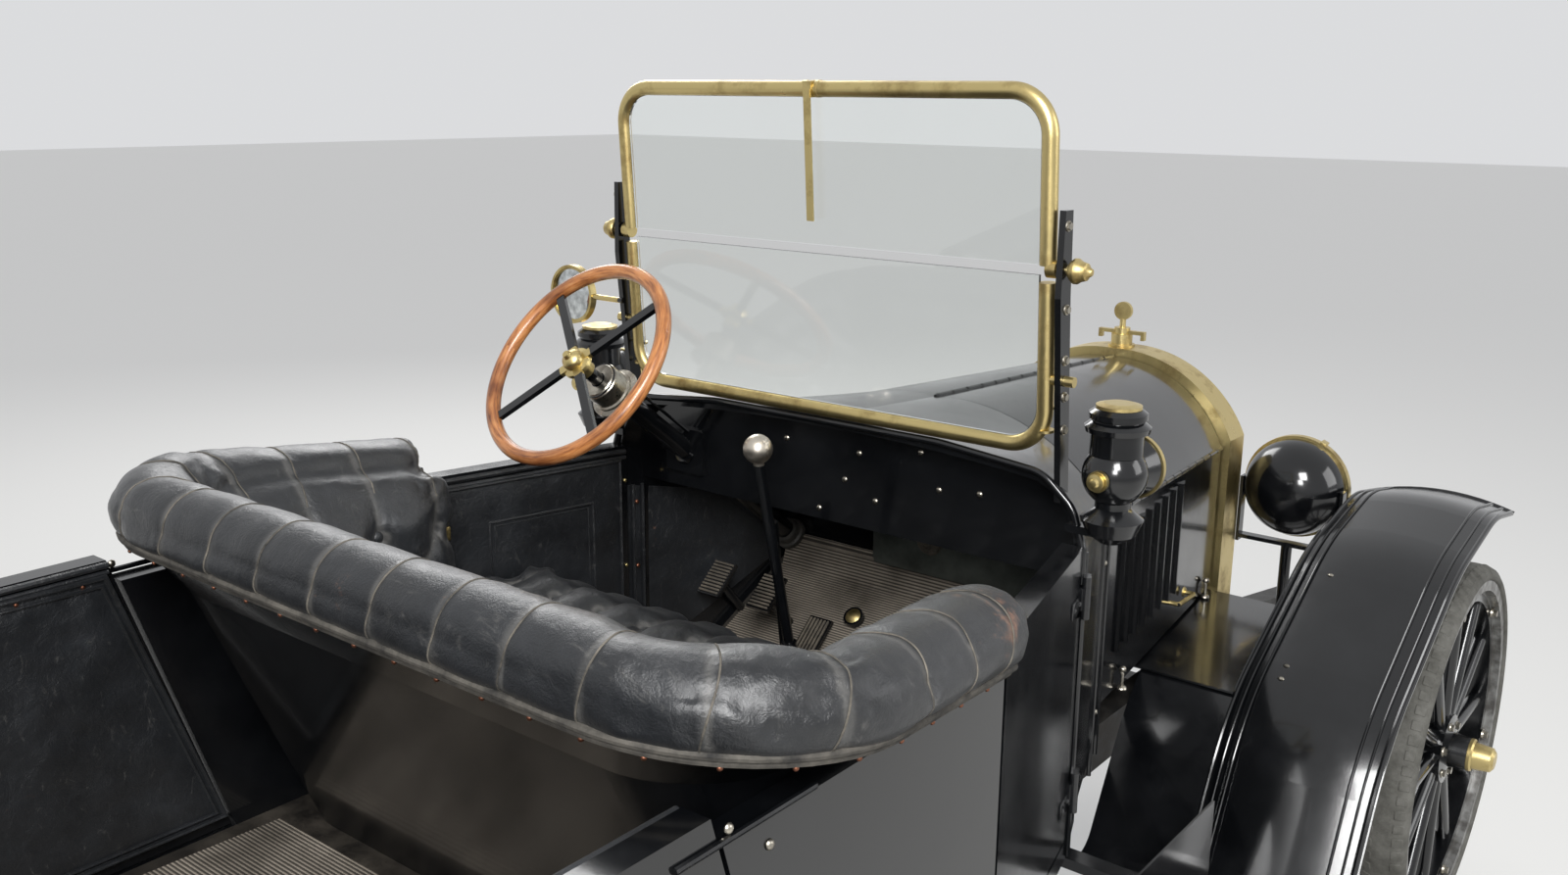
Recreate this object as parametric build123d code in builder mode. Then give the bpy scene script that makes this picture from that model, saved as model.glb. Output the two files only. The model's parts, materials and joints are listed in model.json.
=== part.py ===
from build123d import *
import os
from math import asin, atan2, cos, degrees, radians, sin, sqrt

# Brass era touring car. Millimetres, +X is the car's left, -Y its front, +Z up.
# The origin is on the ground, below the middle of the car's overall length.

# Running gear
wheelbase = 2870.0
track = 1524.0
tyre_diameter = 812.0
tyre_width = 89.0
tyre_depth = 54.0
rim_depth = 13.0
felloe_depth = 27.0
felloe_width = 44.0
spoke_count = 12
spoke_radius = 15.0
hub_flange_radius = 75.0
hub_radius = 38.0
hub_cap_reach = 112.0
stub_radius = 17.0
running_clearance = 0.05
brake_drum_radius = 150.0
kingpin_offset = 72.0
kingpin_radius = 12.0
knuckle_height = 90.0
steering_arm = 150.0

# Frame and springs
rear_overhang = 460.0
rail_x = 310.0
rail_width = 50.0
rail_top = 620.0
rail_depth = 90.0
spring_width = 36.0
leaf_thickness = 8.0
leaf_count = 5
front_spring_reach = 370.0
rear_spring_reach = 425.0
spring_eye_radius = 15.0
spring_pin_radius = 8.0
axle_beam_width = 50.0
axle_beam_depth = 42.0
axle_tube_radius = 36.0

# Places along the car, behind the front axle
screen_setback = 1229.5
bonnet_rear_setback = 870.5
radiator_setback = 114.5
radiator_depth = 80.0

# Bonnet, radiator and scuttle
bonnet_front_half = 272.0
bonnet_front_shoulder = 1014.0
bonnet_front_top = 1187.0
bonnet_rear_half = 365.0
bonnet_rear_shoulder = 1055.0
bonnet_rear_top = 1218.0
bonnet_bottom = 695.0
bonnet_thickness = 4.0
scuttle_half = 492.0
scuttle_shoulder = 1112.0
scuttle_top = 1243.0
scuttle_wall = 18.0
radiator_margin = 18.0
radiator_bottom = 640.0
louvre_count = 8
louvre_height = 235.0
louvre_pitch = 52.0
louvre_length = 30.0
louvre_rise = 9.0

# Body
body_half = 590.0
body_wall = 38.0
body_bottom = 600.0
door_bottom = 640.0
door_top = 1118.0
door_gap = 5.0
front_door_length = 400.0
tub_front = 1295.0
floor_thickness = 15.0
seat_height = 860.0
cushion_thickness = 68.0
roll_radius = 54.0
seat_clearance = 0.6
face_gap = 0.3

# Windscreen
screen_half = 417.0
screen_low = 1256.0
screen_fold = 1527.0
screen_high = 1776.0
screen_tube = 12.5
screen_corner = 62.0
screen_rake = 3.95
glass_thickness = 6.0

# Steering
steering_x = 361.0
steering_wheel_setback = 217.0
steering_wheel_height = 1321.0
steering_wheel_radius = 184.0
steering_rim_radius = 13.0
column_slope = 38.5
column_lean = 3.5
column_radius = 19.0
pitman_x = 380.0
pitman_setback = -790.0

# Lamps
headlamp_x = 404.0
headlamp_setback = -1235.0
headlamp_height = 925.0
headlamp_radius = 112.0
headlamp_depth = 105.0
cowl_lamp_x = 530.0
cowl_lamp_height = 1236.0
cowl_lamp_radius = 48.0

# Wings and running boards
wing_inner = 528.0
wing_outer = 815.0
wing_crown = 22.0
wing_thickness = 4.0
board_inner = 604.0
board_outer = 815.0
board_top = 396.0
board_thickness = 22.0
board_front = -330.0
board_rear = 1164.0
apron_thickness = 4.0

# Places worked out from the sizes above
tyre_radius = tyre_diameter / 2
overall_length = tyre_radius + wheelbase + rear_overhang
front_axle_y = tyre_radius - overall_length / 2
rear_axle_y = front_axle_y + wheelbase
body_rear_y = rear_axle_y + rear_overhang
screen_y = front_axle_y + screen_setback
bonnet_rear_y = front_axle_y + bonnet_rear_setback
radiator_y = front_axle_y + radiator_setback
axle_z = tyre_radius
wheel_x = track / 2
kingpin_x = wheel_x - kingpin_offset
floor_z = rail_top + face_gap + floor_thickness
front_door_rear_y = screen_y + front_door_length
side_inner = body_half - body_wall

os.makedirs("parts", exist_ok=True)


def save(shape, name):
    """Labels a finished piece and writes it."""
    shape.label = name
    export_step(shape, f"parts/{name}.step")


def on_side(shape, side):
    """The left-hand shape itself, or its mirror image for the right."""
    return shape if side > 0 else mirror(shape, about=Plane.YZ)


def across(x, y, z):
    """A plane through a point, facing +X, with local x along the car and local y up."""
    return Plane(origin=(x, y, z), x_dir=(0, 1, 0), z_dir=(1, 0, 0))


def facing_front(x, y, z):
    """A plane through a point, facing the car's front, with local x to the left and local y up."""
    return Plane(origin=(x, y, z), x_dir=(1, 0, 0), z_dir=(0, -1, 0))


SIDES = (("left", 1), ("right", -1))


# Levels of the steering gear below the frame
arm_thickness = 20.0
arm_z = axle_z - knuckle_height / 2 + arm_thickness / 2
drag_link_z = arm_z + arm_thickness / 2 + 13
pitman_z = drag_link_z + 13 + arm_thickness / 2
pitman_y = screen_y + pitman_setback
drop_shaft_radius = 11.0
box_bottom = pitman_z + arm_thickness / 2 + 4
box_top = 560.0

# Chassis frame
# side view of a rail: distance behind the screen, height
spring_eye_z = rail_top - rail_depth - 35
front_eye_y = front_axle_y - front_spring_reach
front_hanger_y = front_axle_y + front_spring_reach
rear_eye_y = rear_axle_y + rear_spring_reach
rear_hanger_y = rear_axle_y - rear_spring_reach
rail_rear_y = rear_eye_y + 2 * spring_eye_radius
rail_drop_y = screen_y + 2025
cross_members = (front_axle_y + 60, screen_y + 80, screen_y + 900, rear_axle_y - 200, rail_rear_y - 120)
crank_bore_radius = 14.0
crank_boss_radius = 28.0
crank_boss_length = 60.0
crank_z = rail_top - rail_depth / 2

with BuildPart() as chassis_frame:
    for x in (-rail_x, rail_x):
        with BuildSketch(across(x - rail_width / 2, 0, 0)):
            with BuildLine():
                Polyline(
                    (front_eye_y - spring_eye_radius, spring_eye_z + 35),
                    (front_eye_y + 40, spring_eye_z + 75),
                    (front_axle_y - 40, rail_top),
                    (rail_drop_y, rail_top),
                    (rail_drop_y + 12, body_bottom - 4),
                    (rail_rear_y, body_bottom - 4),
                    (rail_rear_y, rail_top - rail_depth),
                    (front_axle_y, rail_top - rail_depth),
                    (front_eye_y + 60, spring_eye_z + 20),
                    (front_eye_y - spring_eye_radius, spring_eye_z + 20),
                    close=True,
                )
            make_face()
        extrude(amount=rail_width)
        for y in (front_eye_y, front_hanger_y, rear_hanger_y, rear_eye_y):
            for cheek in (-1, 1):
                with Locations((x + cheek * (rail_width + spring_width + 1) / 4, y, spring_eye_z + 10)):
                    Box((rail_width - spring_width - 1) / 2, 2 * spring_eye_radius, 70)
            with Locations(across(x, y, spring_eye_z)):
                Cylinder(spring_pin_radius, rail_width)
    for y in cross_members:
        with Locations((0, y, rail_top - rail_depth / 2)):
            Box(2 * rail_x, 60, rail_depth - 30)
    with Locations(facing_front(0, front_axle_y + 30, crank_z)):
        Cylinder(crank_boss_radius, crank_boss_length)
        Cylinder(crank_bore_radius, 4 * crank_boss_length, mode=Mode.SUBTRACT)
    # steering box on the left rail's outer face
    with Locations((rail_x + rail_width / 2 - 2, pitman_y + 15, box_bottom)):
        Box(82, 110, box_top - box_bottom, align=(Align.MIN, Align.CENTER, Align.MIN))
    with Locations((pitman_x, pitman_y, box_bottom)):
        Cylinder(drop_shaft_radius + running_clearance, 140, mode=Mode.SUBTRACT)
save(chassis_frame.part, "chassis_frame")


# Springs, axles
def leaf_spring(y, reach, rise, seat_z):
    """One leaf spring with two eyes, its lowest leaf on seat_z below its middle."""
    main_z = seat_z + (leaf_count - 0.5) * leaf_thickness
    bend = (reach**2 + rise**2) / (2 * rise)
    with BuildPart() as spring:
        with BuildSketch(across(-spring_width / 2, 0, 0)):
            for leaf in range(leaf_count):
                radius = bend + leaf * leaf_thickness
                half = degrees(asin(reach / bend)) * (1 - 0.18 * leaf)
                with BuildLine():
                    upper = CenterArc((y, main_z + bend), radius - leaf_thickness / 2, 270 - half, 2 * half)
                    lower = CenterArc((y, main_z + bend), radius + leaf_thickness / 2, 270 - half, 2 * half)
                    Line(upper @ 0, lower @ 0)
                    Line(upper @ 1, lower @ 1)
                make_face()
            with Locations((y - reach, main_z + rise), (y + reach, main_z + rise)):
                Circle(spring_eye_radius)
                Circle(spring_pin_radius + face_gap, mode=Mode.SUBTRACT)
        extrude(amount=spring_width)
    return spring.part


beam_top = axle_z - 34
beam_end = kingpin_x - 40
front_rise = spring_eye_z - beam_top - face_gap - (leaf_count - 0.5) * leaf_thickness
rear_seat_z = axle_z + axle_tube_radius + face_gap
rear_rise = spring_eye_z - rear_seat_z - (leaf_count - 0.5) * leaf_thickness
front_spring = leaf_spring(front_axle_y, front_spring_reach, front_rise, beam_top + face_gap)
rear_spring = leaf_spring(rear_axle_y, rear_spring_reach, rear_rise, rear_seat_z)

ear_gap = 1.0
ear_thickness = 16.0
ear_reach = 26.0
banjo_radius = 120.0
torque_tube_radius = 32.0
with BuildPart() as axles:
    with Locations((-rail_x, 0, 0), (rail_x, 0, 0)):
        add(front_spring)
        add(rear_spring)
    # dropped front beam with its yokes and kingpins
    with BuildSketch(facing_front(0, front_axle_y + axle_beam_width / 2, 0)):
        with BuildLine():
            Polyline(
                (-beam_end, axle_z + knuckle_height / 2 + ear_thickness),
                (-beam_end - 12, axle_z - knuckle_height / 2 - ear_thickness),
                (-rail_x - 130, beam_top - axle_beam_depth),
                (rail_x + 130, beam_top - axle_beam_depth),
                (beam_end + 12, axle_z - knuckle_height / 2 - ear_thickness),
                (beam_end, axle_z + knuckle_height / 2 + ear_thickness),
                (beam_end - 22, axle_z + knuckle_height / 2 + ear_thickness),
                (rail_x + 90, beam_top),
                (-rail_x - 90, beam_top),
                (-beam_end + 22, axle_z + knuckle_height / 2 + ear_thickness),
                close=True,
            )
        make_face()
    extrude(amount=axle_beam_width)
    for side in (-1, 1):
        for level in (-1, 1):
            ear_z = axle_z + level * (knuckle_height / 2 + ear_gap + ear_thickness / 2)
            with Locations((side * kingpin_x, front_axle_y, ear_z)):
                Cylinder(ear_reach, ear_thickness)
            with Locations((side * (kingpin_x - 24), front_axle_y, ear_z)):
                Box(48, 40, ear_thickness)
        with Locations((side * kingpin_x, front_axle_y, axle_z)):
            Cylinder(kingpin_radius, knuckle_height + 2 * ear_thickness + 10)
    # rear tube, crown wheel housing and torque tube
    with Locations(across(0, rear_axle_y, axle_z)):
        Cylinder(axle_tube_radius, 2 * (wheel_x - 75))
        Cylinder(stub_radius, 2 * (wheel_x + 50))
        Sphere(banjo_radius)
    with Locations(facing_front(0, rear_axle_y - 560, axle_z)):
        Cylinder(torque_tube_radius, 1120)
save(axles.part, "axles_and_springs")

# Engine, gearbox and exhaust, as plain closed masses
engine_front_y = front_axle_y + 190
engine_length = 560.0
engine_width = 250.0
exhaust_x = -200.0
exhaust_z = 470.0
silencer_radius = 70.0
with BuildPart() as power_unit:
    with Locations((0, engine_front_y + engine_length / 2, 790)):
        Box(engine_width, engine_length, 380)
    with Locations((0, engine_front_y + engine_length / 2 + 60, 560)):
        Box(engine_width - 40, engine_length + 120, 100)
    with Locations((0, engine_front_y + engine_length + 290, 500)):
        Box(220, 360, 200)
    # engine arms on the rails, downpipe and exhaust hangers
    arm_reach = 2 * (rail_x - rail_width / 2 - face_gap)
    for y in (engine_front_y + 80, engine_front_y + engine_length - 60):
        with Locations((0, y, rail_top - 45)):
            Box(arm_reach, 50, 26)
    with Locations((exhaust_x / 2, -585, exhaust_z + 20)):
        Box(-exhaust_x, 30, 64)
    for y in (cross_members[1], cross_members[2]):
        with Locations((exhaust_x, y, exhaust_z)):
            hanger = rail_top - rail_depth + 15 - face_gap - exhaust_z
            Box(14, 30, hanger, align=(Align.CENTER, Align.CENTER, Align.MIN))
    with Locations(facing_front(exhaust_x, 150, exhaust_z)):
        Cylinder(24, 1500)
    with Locations(facing_front(exhaust_x, 300, exhaust_z)):
        Cylinder(silencer_radius, 500)
save(power_unit.part, "engine_and_exhaust")

# Wheels
rim_outer = tyre_radius - tyre_depth + rim_depth
rim_inner = rim_outer - rim_depth
felloe_inner = rim_inner - felloe_depth
tyre_base = rim_outer + 0.3
rim_half = tyre_width / 2 - 10


def road_wheel(y, drum):
    """Wooden artillery wheel of the left side: hub, spokes, felloe and steel rim."""
    centre = facing_front(wheel_x, y, axle_z)
    with BuildPart() as wheel:
        with BuildSketch(centre):
            with BuildLine():
                Polyline(
                    (-45, stub_radius + running_clearance),
                    (-45, hub_radius),
                    (-20, hub_radius),
                    (-20, hub_flange_radius),
                    (20, hub_flange_radius),
                    (26, hub_radius),
                    (64, hub_radius - 4),
                    (66, hub_radius - 8),
                    (hub_cap_reach - 6, hub_radius - 12),
                    (hub_cap_reach, hub_radius - 20),
                    (hub_cap_reach, 0),
                    (56, 0),
                    (56, stub_radius + running_clearance),
                    close=True,
                )
            make_face()
            with BuildLine():
                Polyline(
                    (-felloe_width / 2, felloe_inner),
                    (-felloe_width / 2, rim_inner),
                    (-rim_half - 4, rim_inner),
                    (-rim_half - 4, rim_outer + 9),
                    (-rim_half, rim_outer + 9),
                    (-rim_half, rim_outer),
                    (rim_half, rim_outer),
                    (rim_half, rim_outer + 9),
                    (rim_half + 4, rim_outer + 9),
                    (rim_half + 4, rim_inner),
                    (felloe_width / 2, rim_inner),
                    (felloe_width / 2, felloe_inner),
                    close=True,
                )
            make_face()
        revolve(axis=Axis((wheel_x, y, axle_z), (1, 0, 0)))
        spoke_length = felloe_inner - hub_flange_radius + 12
        with Locations(across(wheel_x, y, axle_z)):
            with PolarLocations(hub_flange_radius - 6, spoke_count):
                Cylinder(
                    spoke_radius,
                    spoke_length,
                    rotation=(0, 90, 0),
                    align=(Align.CENTER, Align.CENTER, Align.MIN),
                )
        if drum:
            with Locations(across(wheel_x - 48, y, axle_z)):
                Cylinder(brake_drum_radius, 34)
            with Locations(across(wheel_x - 40, y, axle_z)):
                Cylinder(stub_radius + running_clearance, 90, mode=Mode.SUBTRACT)
    return wheel.part


# section of a tyre: inward from its widest line, below its crown
TYRE_SECTION = ((4.0, 31.0), (0.0, 24.0), (1.0, 15.0), (6.0, 8.5), (16.0, 4.0), (30.0, 1.0))


def tyre(y):
    """Plain pneumatic tyre of the left side, seated on its rim."""
    half_section = [(rim_half - 0.4, tyre_base), (rim_half - 0.4, rim_outer + 9.6)]
    half_section += [(tyre_width / 2 - inward, tyre_radius - below) for inward, below in TYRE_SECTION]
    mirrored = [(-across_tyre, up) for across_tyre, up in reversed(half_section)]
    with BuildPart() as ring:
        with BuildSketch(facing_front(wheel_x, y, axle_z)):
            with BuildLine():
                Polyline(*half_section, (0, tyre_radius), *mirrored, close=True)
            make_face()
        revolve(axis=Axis((wheel_x, y, axle_z), (1, 0, 0)))
    return ring.part


for end, y in (("front", front_axle_y), ("rear", rear_axle_y)):
    wheel_shape = road_wheel(y, end == "rear")
    tyre_shape = tyre(y)
    for name, side in SIDES:
        save(on_side(wheel_shape, side), f"wheel_{end}_{name}")
        save(on_side(tyre_shape, side), f"tyre_{end}_{name}")

# Steering knuckles, tie rod, drag link and drop arm
boss_radius = 25.0
ball_radius = 8.0
eye_radius = 18.0
rod_radius = 11.0
tie_rod_z = arm_z - arm_thickness / 2 - 13


def knuckle(with_drag_pin):
    """Left steering knuckle: boss on the kingpin, stub axle and track-rod arm."""
    with BuildPart() as piece:
        with Locations((kingpin_x, front_axle_y, axle_z)):
            Cylinder(boss_radius, knuckle_height)
        with Locations(across((kingpin_x + wheel_x + 50) / 2, front_axle_y, axle_z)):
            Cylinder(stub_radius, wheel_x + 50 - kingpin_x)
        with Locations((kingpin_x, front_axle_y + steering_arm / 2, arm_z)):
            Box(24, steering_arm, arm_thickness)
        with Locations((kingpin_x, front_axle_y + steering_arm, arm_z)):
            Cylinder(eye_radius - 4, arm_thickness)
        with Locations((kingpin_x, front_axle_y + steering_arm, arm_z)):
            Cylinder(ball_radius, arm_thickness + 26, align=(Align.CENTER, Align.CENTER, Align.MAX))
            if with_drag_pin:
                Cylinder(ball_radius, arm_thickness + 16, align=(Align.CENTER, Align.CENTER, Align.MIN))
        with Locations((kingpin_x, front_axle_y, axle_z)):
            Cylinder(kingpin_radius + running_clearance, knuckle_height, mode=Mode.SUBTRACT)
    return piece.part


save(knuckle(True), "knuckle_left")
save(mirror(knuckle(False), about=Plane.YZ), "knuckle_right")

tie_y = front_axle_y + steering_arm
drag_rear_y = pitman_y + steering_arm
drag_length = sqrt((kingpin_x - pitman_x) ** 2 + (drag_rear_y - tie_y) ** 2)
drag_angle = degrees(atan2(drag_rear_y - tie_y, pitman_x - kingpin_x))
eye_height = 22.0
with BuildPart() as steering_links:
    with Locations(across(0, tie_y, tie_rod_z)):
        Cylinder(rod_radius, 2 * kingpin_x)
    with Locations((-kingpin_x, tie_y, tie_rod_z), (kingpin_x, tie_y, tie_rod_z)):
        Cylinder(eye_radius, eye_height)
    with Locations((-kingpin_x, tie_y, tie_rod_z), (kingpin_x, tie_y, tie_rod_z)):
        Cylinder(ball_radius + running_clearance, 2 * eye_height, mode=Mode.SUBTRACT)
    drag_way = (cos(radians(drag_angle + 180)), sin(radians(drag_angle + 180)), 0)
    with BuildSketch(Plane((pitman_x, drag_rear_y, drag_link_z), x_dir=(0, 0, 1), z_dir=drag_way)):
        Circle(rod_radius - 2)
    extrude(amount=drag_length)
    with Locations((pitman_x, drag_rear_y, drag_link_z), (kingpin_x, tie_y, drag_link_z)):
        Cylinder(eye_radius, eye_height)
    with Locations((pitman_x, drag_rear_y, drag_link_z), (kingpin_x, tie_y, drag_link_z)):
        Cylinder(ball_radius + running_clearance, 2 * eye_height, mode=Mode.SUBTRACT)
save(steering_links.part, "steering_links")

with BuildPart() as drop_arm:
    with Locations((pitman_x, pitman_y + steering_arm / 2, pitman_z)):
        Box(26, steering_arm, arm_thickness)
    with Locations((pitman_x, pitman_y, pitman_z), (pitman_x, pitman_y + steering_arm, pitman_z)):
        Cylinder(eye_radius, arm_thickness)
    with Locations((pitman_x, pitman_y + steering_arm, pitman_z)):
        Cylinder(ball_radius, arm_thickness / 2 + 26, align=(Align.CENTER, Align.CENTER, Align.MAX))
    with Locations((pitman_x, pitman_y, pitman_z)):
        Cylinder(drop_shaft_radius, 60, align=(Align.CENTER, Align.CENTER, Align.MIN))
save(drop_arm.part, "drop_arm")

# Steering column, box, brackets and the clamp at the dash
wheel_centre = (steering_x, screen_y + steering_wheel_setback, steering_wheel_height)
slope = radians(column_slope)
lean = radians(column_lean)
column_axis = Vector(sin(lean), cos(lean) * cos(slope), cos(lean) * sin(slope))
column_side = Vector(cos(lean), -sin(lean) * cos(slope), -sin(lean) * sin(slope))
column_plane = Plane(origin=wheel_centre, x_dir=column_side, z_dir=column_axis)
column_start = 62.0
column_end = 690.0
shaft_radius = 12.0
drum_radius = 34.0
drum_length = 38.0
with BuildPart() as steering_column:
    for start, radius, length in (
        (column_start, column_radius, column_end - column_start),
        (column_start, drum_radius, drum_length),
        (column_start + drum_length + 6, drum_radius + 12, 5),
    ):
        with BuildSketch(column_plane.offset(-start)):
            Circle(radius)
        extrude(amount=-length)
    with BuildSketch(column_plane.offset(-column_start + 5)):
        Circle(shaft_radius + running_clearance)
    extrude(amount=-60, mode=Mode.SUBTRACT)
    # clamp that holds the column to the dash board
    clamp = Vector(*wheel_centre) - column_axis * ((steering_wheel_setback + 35) / column_axis.Y)
    with Locations(clamp):
        Box(90, 9, 84)

nut_radius = 17.0
with BuildPart() as steering_spider:
    with BuildSketch(column_plane.offset(14)):
        Circle(nut_radius)
    extrude(amount=-(14 + 30))
    with BuildSketch(column_plane.offset(-20)):
        Circle(shaft_radius)
    extrude(amount=-(column_start - 20 + 50))
    with BuildSketch(column_plane.offset(-5)):
        for angle in (45, 135):
            Rectangle(2 * (steering_wheel_radius - steering_rim_radius - face_gap), 16, rotation=angle)
    extrude(amount=9)
save(steering_spider.part, "steering_spider")

with BuildPart() as steering_rim:
    with BuildSketch(Plane(origin=wheel_centre, x_dir=column_plane.x_dir, z_dir=column_plane.y_dir)):
        with Locations((steering_wheel_radius, 0)):
            Circle(steering_rim_radius)
    revolve(axis=Axis(wheel_centre, column_axis))
save(steering_rim.part, "steering_rim")

# Bonnet: two top leaves on the centre hinge, two side leaves hung from them
bonnet_front_y = radiator_y + 2
bonnet_back_y = bonnet_rear_y - 2
hinge_gap = 4.0
# the hinge line slopes, so an opening flap moves forward a little
flap_front_gap = 8.0
louvre_z = 890.0
handle_setback = 470.0
handle_stand = 24.0
handle_half = 40.0
handle_radius = 3.6


def bonnet_half(along):
    """Half width, shoulder and top height of the bonnet, from 0 at the radiator to 1 at the scuttle."""
    return (
        bonnet_front_half + (bonnet_rear_half - bonnet_front_half) * along,
        bonnet_front_shoulder + (bonnet_rear_shoulder - bonnet_front_shoulder) * along,
        bonnet_front_top + (bonnet_rear_top - bonnet_front_top) * along,
    )


def crown(half, shoulder, top):
    """A point on the shoulder-to-top curve that gives it its rise."""
    return (half * 0.62, shoulder + (top - shoulder) * 0.74)


with BuildPart() as bonnet_top:
    for y, along in ((bonnet_front_y, 0), (bonnet_back_y, 1)):
        half, shoulder, top = bonnet_half(along)
        mid = crown(half, shoulder, top)
        with BuildSketch(Plane(origin=(0, y, 0), x_dir=(1, 0, 0), z_dir=(0, -1, 0))):
            with BuildLine():
                outer = ThreePointArc((half, shoulder), mid, (hinge_gap, top))
                inner = ThreePointArc(
                    (half - bonnet_thickness, shoulder),
                    (mid[0] - 1, mid[1] - bonnet_thickness),
                    (hinge_gap, top - bonnet_thickness),
                )
                Line(outer @ 0, inner @ 0)
                Line(outer @ 1, inner @ 1)
            make_face()
    loft(ruled=True)

bonnet_ends = [bonnet_half(along) for along in (0, 1)]
hinge_rod_radius = hinge_gap - face_gap


def hinge_rod(start, end):
    """Round rod from one point to another."""
    run = Vector(*end) - Vector(*start)
    with BuildPart() as rod:
        with BuildSketch(Plane(origin=start, x_dir=(1, 0, 0), z_dir=run.normalized())):
            Circle(hinge_rod_radius)
        extrude(amount=run.length)
    return rod.part


with BuildPart() as bonnet_leaf:
    add(bonnet_top.part)
    (front_half, front_shoulder, _), (rear_half, rear_shoulder, _) = bonnet_ends
    add(hinge_rod((front_half, bonnet_front_y, front_shoulder), (rear_half, bonnet_back_y, rear_shoulder)))

with BuildPart() as bonnet_side:
    flap_front_y = bonnet_front_y + flap_front_gap
    flap_start = flap_front_gap / (bonnet_back_y - bonnet_front_y)
    for y, along in ((flap_front_y, flap_start), (bonnet_back_y, 1)):
        half, shoulder, top = bonnet_half(along)
        with BuildSketch(Plane(origin=(0, y, 0), x_dir=(1, 0, 0), z_dir=(0, -1, 0))):
            with BuildLine():
                Polyline(
                    (half, shoulder - hinge_gap),
                    (half, bonnet_bottom),
                    (half - bonnet_thickness, bonnet_bottom),
                    (half - bonnet_thickness, shoulder - hinge_gap),
                    close=True,
                )
            make_face()
    loft(ruled=True)
    # pressed louvres, each rising to its open rear edge
    for row in range(louvre_count):
        y = bonnet_back_y - 90 - row * louvre_pitch
        half = bonnet_half((y - bonnet_front_y) / (bonnet_back_y - bonnet_front_y))[0]
        with BuildSketch(Plane.XY.offset(louvre_z - louvre_height / 2)):
            with BuildLine():
                Polyline(
                    (half - bonnet_thickness, y - louvre_length / 2),
                    (half - 1, y - louvre_length / 2),
                    (half + louvre_rise, y + louvre_length / 2 - 4),
                    (half + louvre_rise, y + louvre_length / 2),
                    (half - bonnet_thickness, y + louvre_length / 2),
                    close=True,
                )
            make_face()
        extrude(amount=louvre_height)
    # drop handle on its two posts
    handle_y = bonnet_back_y - handle_setback
    half = bonnet_half((handle_y - bonnet_front_y) / (bonnet_back_y - bonnet_front_y))[0]
    for y in (handle_y - handle_half, handle_y + handle_half):
        with Locations(across(half - 1, y, bonnet_bottom + 60)):
            Cylinder(handle_radius, handle_stand + 1, align=(Align.CENTER, Align.CENTER, Align.MIN))
    with Locations((half + handle_stand, handle_y, bonnet_bottom + 60)):
        Cylinder(handle_radius, 2 * handle_half + 7, rotation=(90, 0, 0))

for name, side in SIDES:
    save(on_side(bonnet_leaf.part, side), f"bonnet_top_{name}")
    save(on_side(bonnet_side.part, side), f"bonnet_side_{name}")


# Radiator
def radiator_face(y, margin, bottom):
    """Outline of the radiator at y: straight sides, rounded shoulders and an arched top."""
    half = bonnet_front_half + margin
    shoulder = bonnet_front_shoulder + margin
    top = bonnet_front_top + margin
    mid = crown(half, shoulder, top)
    with BuildSketch(facing_front(0, y, 0)) as face:
        with BuildLine():
            ThreePointArc((half, shoulder), mid, (0, top))
            ThreePointArc((0, top), (-mid[0], mid[1]), (-half, shoulder))
            Polyline((-half, shoulder), (-half, bottom), (half, bottom), (half, shoulder))
        make_face()
    return face.sketch


core_margin = -26.0
core_setin = 14.0
filler_radius = 24.0
cap_wing = 56.0
motometer_radius = 21.0
with BuildPart() as radiator_shell:
    extrude(radiator_face(radiator_y, radiator_margin, radiator_bottom), amount=radiator_depth)
    opening = radiator_face(radiator_y + 1, core_margin, radiator_bottom + 60)
    extrude(opening, amount=radiator_depth + 2, mode=Mode.SUBTRACT)
    cap_z = bonnet_front_top + radiator_margin
    with Locations((0, radiator_y - radiator_depth / 2, cap_z - 6)):
        Cylinder(filler_radius, 36, align=(Align.CENTER, Align.CENTER, Align.MIN))
        Cylinder(filler_radius + 6, 12, align=(Align.CENTER, Align.CENTER, Align.MIN))
    with Locations((0, radiator_y - radiator_depth / 2, cap_z + 34)):
        Box(2 * cap_wing, 13, 8)
        Cylinder(filler_radius - 6, 20)
    for side in (-1, 1):
        with Locations((side * (cap_wing - 4), radiator_y - radiator_depth / 2, cap_z + 28)):
            Box(8, 13, 20)
    with Locations((0, radiator_y - radiator_depth / 2, cap_z + 30)):
        Cylinder(7, 34, align=(Align.CENTER, Align.CENTER, Align.MIN))
    with Locations(facing_front(0, radiator_y - radiator_depth / 2, cap_z + 82)):
        Cylinder(motometer_radius, 10)
save(radiator_shell.part, "radiator_shell")

with BuildPart() as radiator_core:
    core_bottom = radiator_bottom + 60 + face_gap
    core_face = radiator_face(radiator_y - core_setin, core_margin - face_gap, core_bottom)
    extrude(core_face, amount=radiator_depth - 2 * core_setin)
save(radiator_core.part, "radiator_core")


# Door hinges
hinge_stand = 8.5
barrel_radius = 7.0
hinge_pin_radius = 4.0
door_barrel = 34.0
fixed_barrel = 16.0
barrel_gap = 0.3
arm_length = 12.0
# distance behind the screen and from the middle of the car, side of the door, heights
FRONT_HINGES = (door_gap / 2, scuttle_half + hinge_stand, 1, (720.0, 1040.0))
REAR_HINGES = (1290.0 + door_gap / 2, body_half + hinge_stand, -1, (840.0, 1060.0))


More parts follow.
